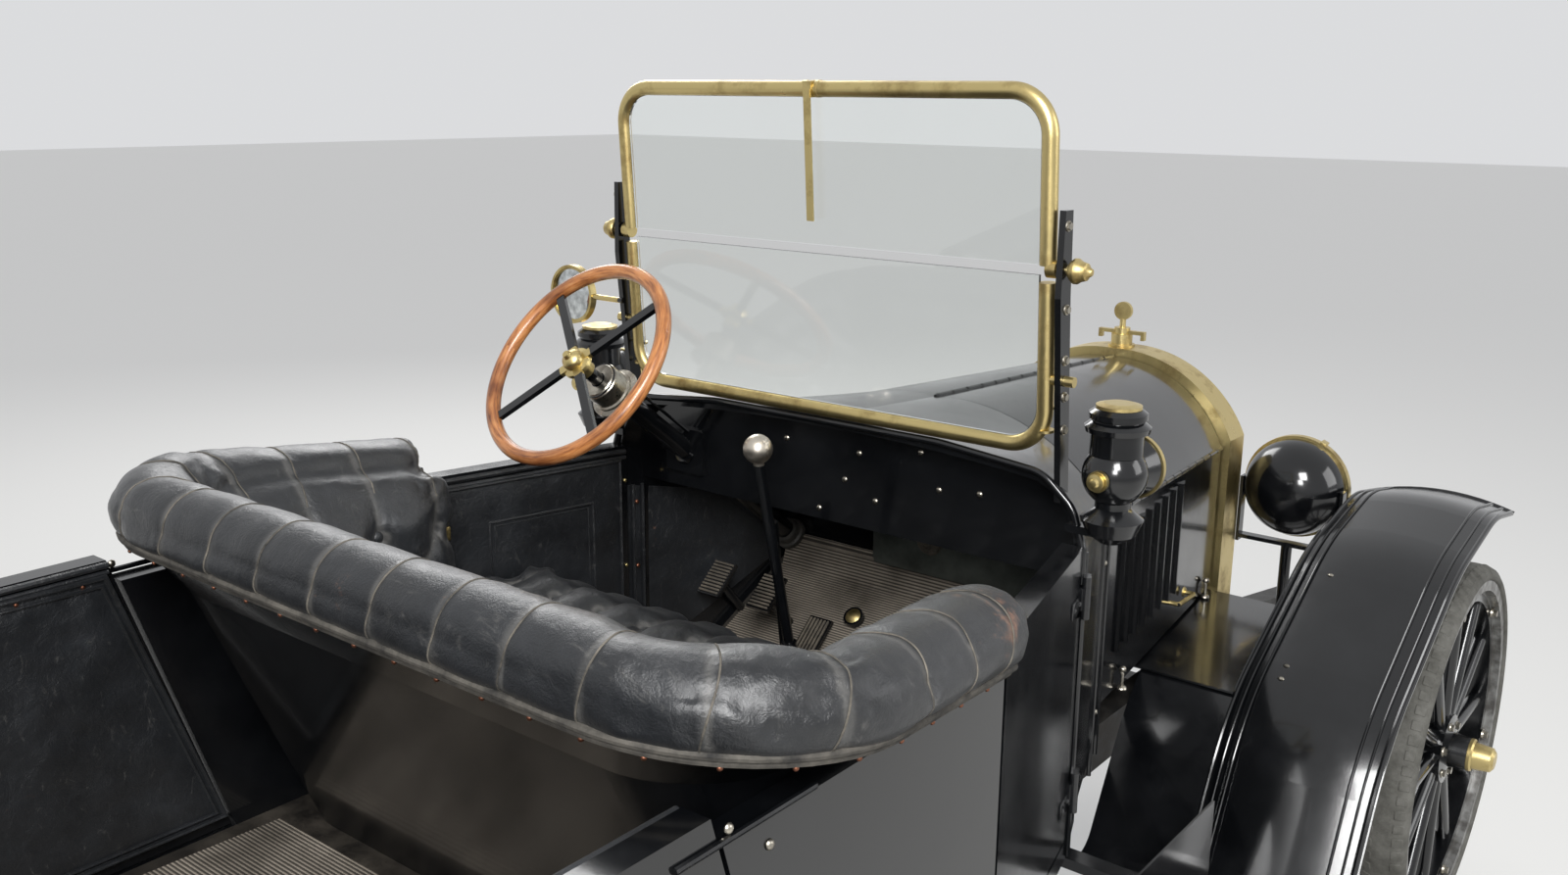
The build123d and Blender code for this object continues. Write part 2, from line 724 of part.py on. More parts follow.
def hinge_half(hinges, moving):
    """Hinge barrels of the left side: the door's with their bores, or the body's with the pins."""
    back, x, door_way, levels = hinges
    y = screen_y + back
    way = door_way if moving else -door_way
    length = door_barrel if moving else fixed_barrel
    shift = 0 if moving else (door_barrel + fixed_barrel) / 2 + barrel_gap
    with BuildPart() as half:
        for level in levels:
            for z in {level - shift, level + shift}:
                with Locations((x, y, z)):
                    Cylinder(barrel_radius, length)
                arm_y = y + way * (door_gap / 2 + arm_length / 2)
                with Locations((x - hinge_stand / 2 - 3, arm_y, z)):
                    Box(hinge_stand + 6, arm_length, length)
            if not moving:
                with Locations((x, y, level)):
                    Cylinder(hinge_pin_radius, door_barrel + fixed_barrel)
        if moving:
            with Locations((x, y, levels[0])):
                Cylinder(hinge_pin_radius + running_clearance, 1000, mode=Mode.SUBTRACT)
    return half.part


# Scuttle with its dash board and bulkhead
# rear section: across, up, and how far the wall's thickness shifts each point across and up
scuttle_rear = (
    (scuttle_half, scuttle_shoulder, 1.0, 0.0),
    (scuttle_half - 20, scuttle_shoulder + 62, 0.9, 0.4),
    (scuttle_half - 74, scuttle_top - 22, 0.6, 0.9),
    (scuttle_half - 260, scuttle_top - 5, 0.1, 1.0),
    (0.0, scuttle_top, 0.0, 1.0),
)


def scuttle_face(y, inset):
    """Section of the scuttle at y, from the bonnet's section to the windscreen's."""
    along = (y - bonnet_rear_y) / (screen_y - bonnet_rear_y)
    mid = crown(bonnet_rear_half, bonnet_rear_shoulder, bonnet_rear_top)
    with BuildLine(mode=Mode.PRIVATE):
        front = ThreePointArc((bonnet_rear_half, bonnet_rear_shoulder), mid, (0, bonnet_rear_top))
    points = []
    for step, (across_rear, up_rear, shift_across, shift_up) in enumerate(scuttle_rear):
        start = front @ (step / 4)
        x = start.X + (across_rear - start.X) * along - inset * shift_across
        z = start.Y + (up_rear - start.Y) * along - inset * shift_up
        points.append((x, z))
    other = [(-x, z) for x, z in points]
    with BuildSketch(facing_front(0, y, 0)) as face:
        with BuildLine():
            ThreePointArc(points[0], points[1], points[2])
            ThreePointArc(points[2], points[3], points[4])
            ThreePointArc(points[4], other[3], other[2])
            ThreePointArc(other[2], other[1], other[0])
            Polyline(other[0], (other[0][0], body_bottom), (points[0][0], body_bottom), points[0])
        make_face()
    return face.sketch


bulkhead_thickness = 20.0
dash_setback = 40.0
dash_thickness = 12.0
dash_bottom = 1048.0
bulkhead_y = bonnet_rear_y + bulkhead_thickness
dash_y = screen_y - dash_setback
with BuildPart() as scuttle_block:
    loft([scuttle_face(bonnet_rear_y, 0), scuttle_face(screen_y, 0)], ruled=True)
with BuildPart() as scuttle:
    add(scuttle_block.part)
    hollow = [scuttle_face(bulkhead_y, scuttle_wall), scuttle_face(screen_y, scuttle_wall)]
    loft(hollow, ruled=True, mode=Mode.SUBTRACT)
    with Locations((0, bulkhead_y, body_bottom)):
        Box(2 * scuttle_half, scuttle_half, 2 * (floor_z - body_bottom + 3), mode=Mode.SUBTRACT)
    extrude(scuttle_face(dash_y, scuttle_wall - 2), amount=dash_thickness)
    with Locations((0, dash_y - dash_thickness / 2, dash_bottom)):
        Box(
            2 * scuttle_half - 2 * scuttle_wall - 40,
            dash_thickness + 2,
            2 * (dash_bottom - body_bottom),
            align=(Align.CENTER, Align.CENTER, Align.MAX),
            mode=Mode.SUBTRACT,
        )
    # centre hinge rod of the bonnet
    add(hinge_rod((0, bonnet_rear_y + 1, bonnet_rear_top), (0, radiator_y + face_gap, bonnet_front_top)))
    # the steering column's way through the dash
    with BuildSketch(column_plane):
        Circle(column_radius + 6)
    extrude(amount=-480, mode=Mode.SUBTRACT)
    add(hinge_half(FRONT_HINGES, False))
    add(mirror(hinge_half(FRONT_HINGES, False), about=Plane.YZ, mode=Mode.PRIVATE))
save(scuttle.part, "scuttle")

# Windscreen: lower frame on its stanchions, upper frame folding forward on the pivots
rake = radians(screen_rake)
screen_plane = Plane(origin=(0, screen_y, screen_low), x_dir=(1, 0, 0), z_dir=(0, -cos(rake), sin(rake)))
fold_up = (screen_fold - screen_low) / cos(rake)
top_up = (screen_high - screen_low) / cos(rake)
fold_gap = 5.0
lower_tube_gap = 20.0
lower_glass_gap = 10.0
fold_y = screen_y + (screen_fold - screen_low) * sin(rake) / cos(rake)
pivot_radius = 6.0
lug_radius = 13.0
lug_length = 16.0
stanchion_x = screen_half + screen_tube + 8
stanchion_thickness = 10.0
knob_radius = 11.0
knob_reach = 34.0
stanchion_above = 85.0
clamp_z = 1364.0
clip_drop = 205.0


def screen_tube_frame(start_up, end_up):
    """Half of the windscreen's tube frame: two uprights and the rail at end_up."""
    with BuildPart() as frame:
        with BuildLine(screen_plane) as path:
            FilletPolyline(
                (-screen_half, start_up),
                (-screen_half, end_up),
                (screen_half, end_up),
                (screen_half, start_up),
                radius=screen_corner,
            )
        with BuildSketch(Plane(origin=path.wire() @ 0, z_dir=path.wire() % 0)):
            Circle(screen_tube)
        sweep(path=path.wire())
    return frame.part


mirror_x = 569.0
mirror_setback = 25.0
mirror_z = 1398.0
mirror_radius = 55.0
mirror_depth = 14.0
with BuildPart() as windscreen_lower:
    add(screen_tube_frame(fold_up - lower_tube_gap, 0))
    for side in (-1, 1):
        stanchion_face = side * (stanchion_x + stanchion_thickness / 2) - stanchion_thickness / 2
        with BuildSketch(across(stanchion_face, 0, 0)):
            with BuildLine():
                Polyline(
                    (screen_y - 26, scuttle_shoulder + 60),
                    (screen_y - 0.5, scuttle_shoulder + 60),
                    (fold_y + 15, screen_fold - 40),
                    (fold_y + 13, screen_fold + stanchion_above),
                    (fold_y - 9, screen_fold + stanchion_above),
                    (fold_y - 15, screen_fold - 40),
                    close=True,
                )
            make_face()
        extrude(amount=stanchion_thickness)
        pin_end = screen_half + screen_tube + 4 - lug_length
        with Locations(across(side * (pin_end + stanchion_x + knob_reach) / 2, fold_y, screen_fold)):
            Cylinder(pivot_radius, stanchion_x + knob_reach - pin_end)
        with Locations(across(side * (stanchion_x + knob_reach - 8), fold_y, screen_fold)):
            Cylinder(knob_radius, 24)
        clamp_y = screen_y + (clamp_z - screen_low) * sin(rake) / cos(rake)
        with Locations(across(side * (screen_half + stanchion_x + 26) / 2, clamp_y, clamp_z)):
            Cylinder(8, stanchion_x + 26 - screen_half)
    # round mirror on its arm at the driver's side
    with Locations(across((stanchion_x + mirror_x) / 2, screen_y + mirror_setback, mirror_z)):
        Cylinder(5, mirror_x - stanchion_x)
    with Locations(facing_front(mirror_x, screen_y + mirror_setback, mirror_z)):
        Cylinder(mirror_radius, mirror_depth)
        with Locations((0, 0, -mirror_depth / 2)):
            Cylinder(mirror_radius - 5, 6, mode=Mode.SUBTRACT)
    with Locations((0, 0, face_gap)):
        add(scuttle_block.part, mode=Mode.SUBTRACT)
save(windscreen_lower.part, "windscreen_lower")

with BuildPart() as windscreen_upper:
    add(screen_tube_frame(fold_up + fold_gap, top_up))
    for side in (-1, 1):
        lug_x = screen_half + screen_tube + 4 - lug_length / 2
        with Locations(across(side * lug_x, fold_y, screen_fold)):
            Cylinder(lug_radius, lug_length)
            Cylinder(pivot_radius + running_clearance, 2 * lug_length, mode=Mode.SUBTRACT)
    with Locations(screen_plane):
        with Locations((0, top_up, 0)):
            Box(16, 2 * screen_tube, 2 * screen_tube + 6)
        with Locations((0, top_up - clip_drop / 2, -screen_tube - 3)):
            Box(13, clip_drop, 3)
save(windscreen_upper.part, "windscreen_upper")

glass_edge = screen_tube + 0.5
for name, square_up, round_up in (
    ("windscreen_glass_lower", fold_up - lower_glass_gap, glass_edge),
    ("windscreen_glass_upper", fold_up + fold_gap, top_up - glass_edge),
):
    with BuildPart() as pane:
        with BuildSketch(screen_plane.offset(-glass_thickness / 2)):
            with BuildLine():
                rounded = FilletPolyline(
                    (glass_edge - screen_half, square_up),
                    (glass_edge - screen_half, round_up),
                    (screen_half - glass_edge, round_up),
                    (screen_half - glass_edge, square_up),
                    radius=screen_corner - screen_tube,
                )
                Line(rounded @ 0, rounded @ 1)
            make_face()
        extrude(amount=glass_thickness)
    save(pane.part, name)

# Floor, toe board and the boxes under the seats
floor_under = rail_top + face_gap
toe_front_y = bulkhead_y + 3
toe_rear_y = screen_y - 112
toe_top_z = floor_z + 196
floor_rear_y = body_rear_y - 70
floor_front_half = scuttle_half - body_wall - face_gap
# plan of the floor: half width, distance behind the screen
FLOOR_PLAN = (
    (floor_front_half, 1.0),
    (side_inner - face_gap, front_door_length),
    (side_inner - face_gap, 1290.0),
    (side_inner - 22, 1800.0),
    (side_inner - 182, floor_rear_y - screen_y + 5),
)
# plan of each seat box: half width, distance behind the screen
box_half = side_inner - 34
SEAT_BOXES = (
    ((box_half - 32, 190.0), (box_half, 340.0), (box_half, 588.0), (box_half - 92, 682.0)),
    ((box_half + 6, 1400.0), (box_half + 6, 1700.0), (box_half - 88, 1850.0)),
)
with BuildPart() as floor:
    with BuildSketch(across(-body_half, 0, 0)):
        with BuildLine():
            Polyline(
                (toe_front_y, toe_top_z),
                (toe_rear_y, floor_z),
                (floor_rear_y, floor_z),
                (floor_rear_y, floor_under),
                (toe_rear_y - 8, floor_under),
                (toe_front_y, toe_top_z - floor_thickness),
                close=True,
            )
        make_face()
    extrude(amount=2 * body_half)
    with BuildSketch(Plane.XY):
        toe_corner = ((bonnet_rear_half - scuttle_wall - 1, toe_front_y - screen_y - 1),)
        with BuildLine():
            left = [(half, screen_y + back) for half, back in toe_corner + FLOOR_PLAN]
            Polyline(*left, *[(-half, y) for half, y in reversed(left)], close=True)
        make_face()
    extrude(amount=2000, mode=Mode.INTERSECT)
    for box in SEAT_BOXES:
        with BuildSketch(Plane.XY.offset(floor_z)):
            with BuildLine():
                left = [(half, screen_y + back) for half, back in box]
                Polyline(*left, *[(-half, y) for half, y in reversed(left)], close=True)
            make_face()
        extrude(amount=seat_height - floor_z)
save(floor.part, "floor")

# Body sides and doors
sill_top = door_bottom - door_gap
post_lean = ((screen_y + 803, door_bottom), (screen_y + 940, 1083.0))
with BuildPart() as body_side:
    with BuildSketch(across(side_inner, 0, 0)):
        with BuildLine():
            Polyline(
                (front_door_rear_y + door_gap, body_bottom),
                (front_door_rear_y + door_gap, post_lean[1][1]),
                (post_lean[1][0] - 6, post_lean[1][1]),
                (post_lean[0][0] - 6, sill_top),
                (screen_y + tub_front - face_gap, sill_top),
                (screen_y + tub_front - face_gap, body_bottom),
                close=True,
            )
        make_face()
    extrude(amount=body_wall)
    with BuildSketch(Plane.XY.offset(body_bottom)):
        with BuildLine():
            Polyline(
                (scuttle_half, screen_y + face_gap),
                (body_half, front_door_rear_y),
                (body_half, front_door_rear_y + 20),
                (side_inner, front_door_rear_y + 20),
                (side_inner, front_door_rear_y),
                (scuttle_half - body_wall, screen_y + face_gap),
                close=True,
            )
        make_face()
    extrude(amount=sill_top - body_bottom)
with BuildPart() as body_sides:
    add(body_side.part)
    mirror(body_side.part, about=Plane.YZ)
save(body_sides.part, "body_sides")

door_thickness = body_wall - 2
door_front_y = screen_y + door_gap
door_rear_y = front_door_rear_y
front_slope = (body_half - scuttle_half) / front_door_length
with BuildPart() as front_door:
    with BuildSketch(Plane.XY.offset(door_bottom)):
        with BuildLine():
            Polyline(
                (scuttle_half + front_slope * door_gap, door_front_y),
                (body_half, door_rear_y),
                (body_half - door_thickness, door_rear_y),
                (scuttle_half + front_slope * door_gap - door_thickness, door_front_y),
                close=True,
            )
        make_face()
    extrude(amount=door_top - door_bottom)
    add(hinge_half(FRONT_HINGES, True))
with BuildPart() as rear_door:
    with BuildSketch(across(body_half - door_thickness, 0, 0)):
        with BuildLine():
            Polyline(
                (screen_y + 803, door_bottom),
                (screen_y + 1120, door_bottom),
                (screen_y + 1290, 760),
                (screen_y + 1290, door_top),
                (screen_y + 951, door_top),
                close=True,
            )
        make_face()
    extrude(amount=door_thickness)
    add(hinge_half(REAR_HINGES, True))
for name, side in SIDES:
    save(on_side(front_door.part, side), f"door_front_{name}")
    save(on_side(rear_door.part, side), f"door_rear_{name}")


# Seat shells, cushions and rolls
# height, front, rear behind the screen, half width at front and rear, corner radius
seat_half = side_inner - 6
roll_flare = 104.0
FRONT_SHELL = (
    (floor_z + 0.5, 405.0, 704.0, seat_half, seat_half, 118.0),
    (1085.0, 405.0, 900.0, seat_half, seat_half, 150.0),
    (1175.0, 405.0, 955.0, seat_half + 29, seat_half + roll_flare, 170.0),
)
REAR_TUB = (
    (body_bottom, tub_front, 2062.0, body_half, body_half - 30, 220.0),
    (door_top, tub_front, 2084.0, body_half, body_half - 24, 220.0),
    (1180.0, tub_front, 2090.0, body_half + 2, body_half - 20, 220.0),
)


def row_at(rows, z):
    """The row of a shell at height z, worked out between the two rows beside it."""
    lower, upper = next(pair for pair in zip(rows, rows[1:]) if z <= pair[1][0] or pair[1] is rows[-1])
    share = (z - lower[0]) / (upper[0] - lower[0])
    return tuple(low + (high - low) * share for low, high in zip(lower, upper))


def shell_face(row, inset, front_shift):
    """Plan of a seat shell at one height: open-ended U with rounded rear corners, filled."""
    z, front, rear, front_half, rear_half, corner = row
    with BuildSketch(Plane.XY.offset(z)) as face:
        with BuildLine():
            outline = FilletPolyline(
                (front_half - inset, screen_y + front + front_shift),
                (rear_half - inset, screen_y + rear - inset),
                (inset - rear_half, screen_y + rear - inset),
                (inset - front_half, screen_y + front + front_shift),
                radius=corner - inset,
            )
            Line(outline @ 0, outline @ 1)
        make_face()
    return face.sketch


def seat_ring(rows, outer_inset, inner_inset):
    """Curved wall between two insets of a seat shell, open at the front."""
    with BuildPart() as ring:
        for lower, upper in zip(rows, rows[1:]):
            loft([shell_face(lower, outer_inset, 0), shell_face(upper, outer_inset, 0)], ruled=True)
        for lower, upper in zip(rows, rows[1:]):
            inner = [shell_face(lower, inner_inset, -9), shell_face(upper, inner_inset, -9)]
            loft(inner, ruled=True, mode=Mode.SUBTRACT)
    return ring.part


def roll_plane(front, front_z, rear, rear_z):
    """Tilted plane that holds the middle line of a roll; local x to the right, local y rearward."""
    rise = atan2(rear_z - front_z, rear - front)
    return Plane(origin=(0, screen_y + front, front_z), x_dir=(1, 0, 0), z_dir=(0, -sin(rise), cos(rise)))


def roll(plane, length, front_half, rear_half, corner, radius):
    """Padded roll: a round section led round the U of the seat's top edge."""
    with BuildPart() as piece:
        with BuildLine(plane) as path:
            left = ((front_half, 0), (rear_half, length))
            right = ((-rear_half, length), (-front_half, 0))
            FilletPolyline(*left, *right, radius=corner)
        with BuildSketch(Plane(origin=path.wire() @ 0, z_dir=path.wire() % 0)):
            Circle(radius)
        sweep(path=path.wire())
    return piece.part


def under_roll(ring, plane, path):
    """A wall cut off where the roll sits on it."""
    with BuildPart() as piece:
        add(ring)
        with BuildSketch(plane):
            Rectangle(3000, 3000)
        extrude(amount=600, mode=Mode.SUBTRACT)
        add(roll(plane, *path, roll_radius + seat_clearance), mode=Mode.SUBTRACT)
    return piece.part


pad_thickness = 72.0
front_shell_wall = 18.0
rear_tub_wall = 22.0
front_roll_rear = 922.0
rear_roll_rear = body_rear_y - screen_y - roll_radius
front_roll = (415.0, 1143.0, front_roll_rear, 1205.0)
rear_roll = (tub_front + 5, 1150.0, rear_roll_rear, 1175.0)
front_roll_plan = (seat_half + 29, seat_half + roll_flare - 10, 185.0)
rear_roll_plan = (body_half - 24, body_half - 45, 200.0)
# name, rows, wall, roll's front and rear with their heights, roll's half widths and corner
seats = (
    ("front_seat", FRONT_SHELL, front_shell_wall, front_roll, front_roll_plan),
    ("rear_seat", REAR_TUB, rear_tub_wall, rear_roll, rear_roll_plan),
)
pad_bottom = seat_height + cushion_thickness + 1.5
for name, rows, wall, (front, front_z, rear, rear_z), halves in seats:
    plane = roll_plane(front, front_z, rear, rear_z)
    length = sqrt((rear - front) ** 2 + (rear_z - front_z) ** 2)
    path = (length, *halves)
    shell = under_roll(seat_ring(rows, 0, wall), plane, path)
    if name == "rear_seat":
        with BuildPart() as tub:
            add(shell)
            add(hinge_half(REAR_HINGES, False))
            add(mirror(hinge_half(REAR_HINGES, False), about=Plane.YZ, mode=Mode.PRIVATE))
        shell = tub.part
    save(shell, "rear_tub" if name == "rear_seat" else "front_seat_shell")
    pad_rows = [row_at(rows, pad_bottom)] + [row for row in rows if row[0] > pad_bottom]
    pad = under_roll(seat_ring(pad_rows, wall + seat_clearance, wall + pad_thickness), plane, path)
    with BuildPart() as back:
        add(pad)
        add(roll(plane, *path, roll_radius))
    save(back.part, f"{name}_back")

cushion_half = side_inner - 30
rear_cushion_half = side_inner - 12
cushion_front = 180.0
cushion_rear = 742.0
rear_cushion_front = 1385.0
rear_cushion_rear = 2040.0
with BuildPart() as front_cushion:
    with BuildSketch(Plane.XY.offset(seat_height + seat_clearance)):
        with BuildLine():
            slope_half = scuttle_half - body_wall - 8
            outline = FilletPolyline(
                (slope_half + front_slope * cushion_front, screen_y + cushion_front),
                (slope_half + front_slope * 340, screen_y + 340),
                (cushion_half, screen_y + 420),
                (cushion_half, screen_y + cushion_rear),
                (-cushion_half, screen_y + cushion_rear),
                (-cushion_half, screen_y + 420),
                (-slope_half - front_slope * 340, screen_y + 340),
                (-slope_half - front_slope * cushion_front, screen_y + cushion_front),
                radius=60,
                close=True,
            )
        make_face()
    extrude(amount=cushion_thickness)
save(front_cushion.part, "front_seat_cushion")
with BuildPart() as rear_cushion:
    with BuildSketch(Plane.XY.offset(seat_height + seat_clearance)):
        with BuildLine():
            FilletPolyline(
                (rear_cushion_half, screen_y + rear_cushion_front),
                (rear_cushion_half, screen_y + 1700),
                (rear_cushion_half - 200, screen_y + rear_cushion_rear - 12),
                (200 - rear_cushion_half, screen_y + rear_cushion_rear - 12),
                (-rear_cushion_half, screen_y + 1700),
                (-rear_cushion_half, screen_y + rear_cushion_front),
                radius=60,
                close=True,
            )
        make_face()
    extrude(amount=cushion_thickness)
save(rear_cushion.part, "rear_seat_cushion")


# Wings, with the shelves that close them to the frame
def wing(path_points, radii, inner, outer):
    """Crowned wing of the left side, led along a line seen from the side."""
    middle = (inner + outer) / 2
    half = (outer - inner) / 2
    with BuildPart() as piece:
        with BuildLine(across(middle, 0, 0)) as path:
            FilletPolyline(*path_points, radius=radii)
        start = path.wire() @ 0
        with BuildSketch(Plane(origin=start, x_dir=(1, 0, 0), z_dir=path.wire() % 0)):
            with BuildLine():
                top = ThreePointArc((-half, wing_crown), (0, 0), (half, wing_crown))
                under = ThreePointArc(
                    (-half, wing_crown + wing_thickness),
                    (0, wing_thickness),
                    (half, wing_crown + wing_thickness),
                )
                Line(top @ 0, under @ 0)
                Line(top @ 1, under @ 1)
            make_face()
        sweep(path=path.wire())
    return piece.part


front_wing_path = (
    (screen_y - 1400, 925),
    (screen_y - 1229, 955),
    (screen_y - 950, 905),
    (screen_y - 560, 690),
    (screen_y - 400, 400),
    (screen_y + board_front + 2, 400),
)
front_wing_radii = (300, 500, 400, 60)
rear_wing_radius = 470.0
BOARD_IRONS = (-60.0, 420.0, 960.0)
rear_wing_inner = body_half + 6


def shelf_inner(y):
    """Inner edge of the shelf between bonnet and wing, a little under the bonnet's side."""
    return bonnet_half((y - bonnet_front_y) / (bonnet_back_y - bonnet_front_y))[0] - 8


def wing_side_area(x, low, high, strip):
    """Area below the front wing's inner edge, or a strip along it, inside a window seen from the side."""
    with BuildSketch(across(x, 0, 0)) as area:
        for drop, mode in ((wing_crown, Mode.ADD), (wing_crown + wing_thickness, Mode.SUBTRACT)):
            if mode == Mode.ADD or strip:
                with BuildLine():
                    line = [(y, z - drop) for y, z in front_wing_path]
                    edge = FilletPolyline(*line, radius=front_wing_radii)
                    Polyline(edge @ 1, ((edge @ 1).X, 300), ((edge @ 0).X, 300), edge @ 0)
                make_face(mode=mode)
        with Locations(((low[0] + high[0]) / 2, (low[1] + high[1]) / 2)):
            Rectangle(high[0] - low[0], high[1] - low[1], mode=Mode.INTERSECT)
    return area.sketch


# shelf between bonnet and wing: flat floor, upright valance, and the apron that follows the wing down
shelf_z = bonnet_bottom - 7
shelf_under = shelf_z - wing_thickness
shelf_outer = wing_inner - face_gap
shelf_front_y = screen_y - 1100
shelf_turn_y = screen_y - 590
apron_inner = rail_x + rail_width / 2 + 6
with BuildPart() as shelf:
    valance_x = shelf_outer - wing_thickness
    valance = wing_side_area(valance_x, (shelf_front_y, shelf_under), (shelf_turn_y, 1000), False)
    extrude(valance, amount=wing_thickness)
    apron_low = (shelf_turn_y - 70, 300)
    apron_high = (screen_y + board_front - 2, shelf_z)
    extrude(wing_side_area(apron_inner, apron_low, apron_high, True), amount=shelf_outer - apron_inner)
    with BuildSketch(Plane.XY.offset(shelf_under)):
        with BuildLine():
            Polyline(
                (shelf_inner(shelf_front_y), shelf_front_y),
                (shelf_outer, shelf_front_y),
                (shelf_outer, shelf_turn_y),
                (shelf_inner(shelf_turn_y), shelf_turn_y),
                close=True,
            )
        make_face()
    extrude(amount=wing_thickness)
with BuildPart() as wings:
    for side in (1, -1):
        add(on_side(wing(front_wing_path, front_wing_radii, wing_inner, wing_outer), side))
    # rear wings bend round the wheel in one arc
    for x in (rear_wing_inner, -wing_outer):
        with BuildSketch(across(x, 0, 0)):
            with BuildLine():
                over = CenterArc((rear_axle_y, axle_z), rear_wing_radius, 16, 164)
                below = CenterArc((rear_axle_y, axle_z), rear_wing_radius - wing_thickness, 16, 164)
                Line(over @ 0, below @ 0)
                Line(over @ 1, below @ 1)
            make_face()
        extrude(amount=wing_outer - rear_wing_inner)
    add(shelf.part)
    mirror(shelf.part, about=Plane.YZ)
    # running boards and the aprons that close them to the body
    for side in (-1, 1):
        board_x = side * (board_inner + board_outer) / 2
        with Locations((board_x, screen_y + (board_front + board_rear) / 2, board_top)):
            Box(
                board_outer - board_inner,
                board_rear - board_front,
                board_thickness,
                align=(Align.CENTER, Align.CENTER, Align.MAX),
            )
        apron_height = body_bottom - board_top + board_thickness
        apron_y = screen_y + (board_front + board_rear) / 2
        with Locations((side * (board_inner - apron_thickness / 2), apron_y, board_top - board_thickness)):
            Box(
                apron_thickness,
                board_rear - board_front,
                apron_height,
                align=(Align.CENTER, Align.CENTER, Align.MIN),
            )
        # irons that carry the boards, the shelf and the rear wing
        iron_start = rail_x + rail_width / 2 + face_gap
        for setback in BOARD_IRONS:
            with Locations((side * (iron_start + board_inner) / 2, screen_y + setback, 565)):
                Box(board_inner - iron_start, 34, 18)
        with Locations((side * (rail_x + 12), screen_y - 700, rail_top + face_gap)):
            Box(24, 40, shelf_z - rail_top - 2, align=(Align.CENTER, Align.CENTER, Align.MIN))
        for angle in (62, 118):
            iron_y = rear_axle_y + (rear_wing_radius - 8) * cos(radians(angle))
            iron_z = axle_z + (rear_wing_radius - 8) * sin(radians(angle))
            _, tub_front, tub_rear, front_half, rear_half, _ = row_at(REAR_TUB, iron_z)
            share = (iron_y - screen_y - tub_front) / (tub_rear - tub_front)
            tub_half = front_half + (rear_half - front_half) * share
            with Locations((side * (tub_half + 1 + rear_wing_inner + 6) / 2, iron_y, iron_z)):
                Box(rear_wing_inner + 5 - tub_half, 24, 16)
save(wings.part, "wings")

# Lamps: black bodies and forks, brass rims and caps, glasses
headlamp_y = screen_y + headlamp_setback
lamp_glass_radius = headlamp_radius - 14
lamp_glass_thickness = 4.0
fork_reach = headlamp_radius + 10
fork_drop = 128.0
post_y = headlamp_y + 50
post_radius = 12.0
cowl_lamp_y = screen_y - 4
cowl_bell_start = 30.0
cowl_bell_end = 58.0
cowl_ring = 50.0
cowl_lens = 42.0
# bowl of a headlamp: radius, distance in front of its back
HEADLAMP_BOWL = (
    (0.0, 0.0),
    (34.0, 3.0),
    (64.0, 16.0),
    (86.0, 36.0),
    (100.0, 62.0),
    (108.0, 88.0),
    (108.0, 97.0),
)
bowl_wall = 6.0
# base and chimney of a scuttle lamp: height above its middle, radius below and above
COWL_LAMP_BODY = (
    (-104.0, -90.0, 16.0, 36.0),
    (-90.0, -67.0, 36.0, 46.0),
    (-67.0, -50.0, 46.0, 26.0),
    (-50.0, -38.0, 26.0, 26.0),
    (30.0, 64.0, 39.0, 38.0),
    (64.0, 72.0, 46.0, 48.0),
    (72.0, 80.0, 48.0, 38.0),
    (80.0, 84.0, 36.0, 36.0),
    (84.0, 92.0, 42.0, 42.0),
    (92.0, 98.0, 42.0, 34.0),
)
COWL_LAMP_DISC = ((98.3, 103.0, 33.0, 33.0), (103.0, 106.0, 33.0, 22.0))


def cone_stack(rows):
    """Coaxial cones from rows of height below and above, radius below and above."""
    with BuildPart() as stack:
        for low, high, radius, top_radius in rows:
            with Locations((0, 0, low)):
                Cone(radius, top_radius + 0.001, high - low, align=(Align.CENTER, Align.CENTER, Align.MIN))
    return stack.part


with BuildPart() as lamps:
    for side in (-1, 1):
        with BuildSketch(Plane(origin=(side * headlamp_x, headlamp_y, headlamp_height))):
            with BuildLine():
                outside = [(radius, headlamp_depth - ahead) for radius, ahead in HEADLAMP_BOWL]
                inside = [
                    (radius - bowl_wall, headlamp_depth - max(ahead, bowl_wall + 1))
                    for radius, ahead in HEADLAMP_BOWL[1:]
                ]
                Polyline(*outside, *reversed(inside), (0, headlamp_depth - bowl_wall), close=True)
            make_face()
        revolve(axis=Axis((side * headlamp_x, headlamp_y, headlamp_height), (0, 1, 0)))
        for arm in (-1, 1):
            arm_x = side * headlamp_x + arm * (headlamp_radius - 2)
            with Locations((arm_x, post_y - 22, headlamp_height - fork_drop / 2)):
                Box(7, 24, fork_drop + 24)
        with Locations((side * headlamp_x, post_y - 22, headlamp_height - fork_drop)):
            Box(2 * headlamp_radius + 3, 24, 9)
        with Locations((side * headlamp_x, post_y - 22, rail_top + face_gap)):
            post_height = headlamp_height - fork_drop - rail_top
            Cylinder(post_radius, post_height, align=(Align.CENTER, Align.CENTER, Align.MIN))
        with Locations((side * (rail_x + headlamp_x + post_radius) / 2, post_y - 22, rail_top + face_gap)):
            Box(headlamp_x + post_radius - rail_x, 36, 12, align=(Align.CENTER, Align.CENTER, Align.MIN))
        with Locations((side * cowl_lamp_x, cowl_lamp_y, cowl_lamp_height)):
            Sphere(cowl_lamp_radius)
            add(cone_stack(COWL_LAMP_BODY))
        with Locations((side * (cowl_lamp_x - 34), cowl_lamp_y, cowl_lamp_height - 92)):
            Box(68, 26, 12)
        with Locations(facing_front(side * cowl_lamp_x, cowl_lamp_y - cowl_bell_start, cowl_lamp_height)):
            bell_length = cowl_bell_end - cowl_bell_start
            Cone(38, cowl_ring - 3, bell_length, align=(Align.CENTER, Align.CENTER, Align.MIN))
    with Locations((0, 0, face_gap)):
        add(scuttle_block.part, mode=Mode.SUBTRACT)
save(lamps.part, "lamps")

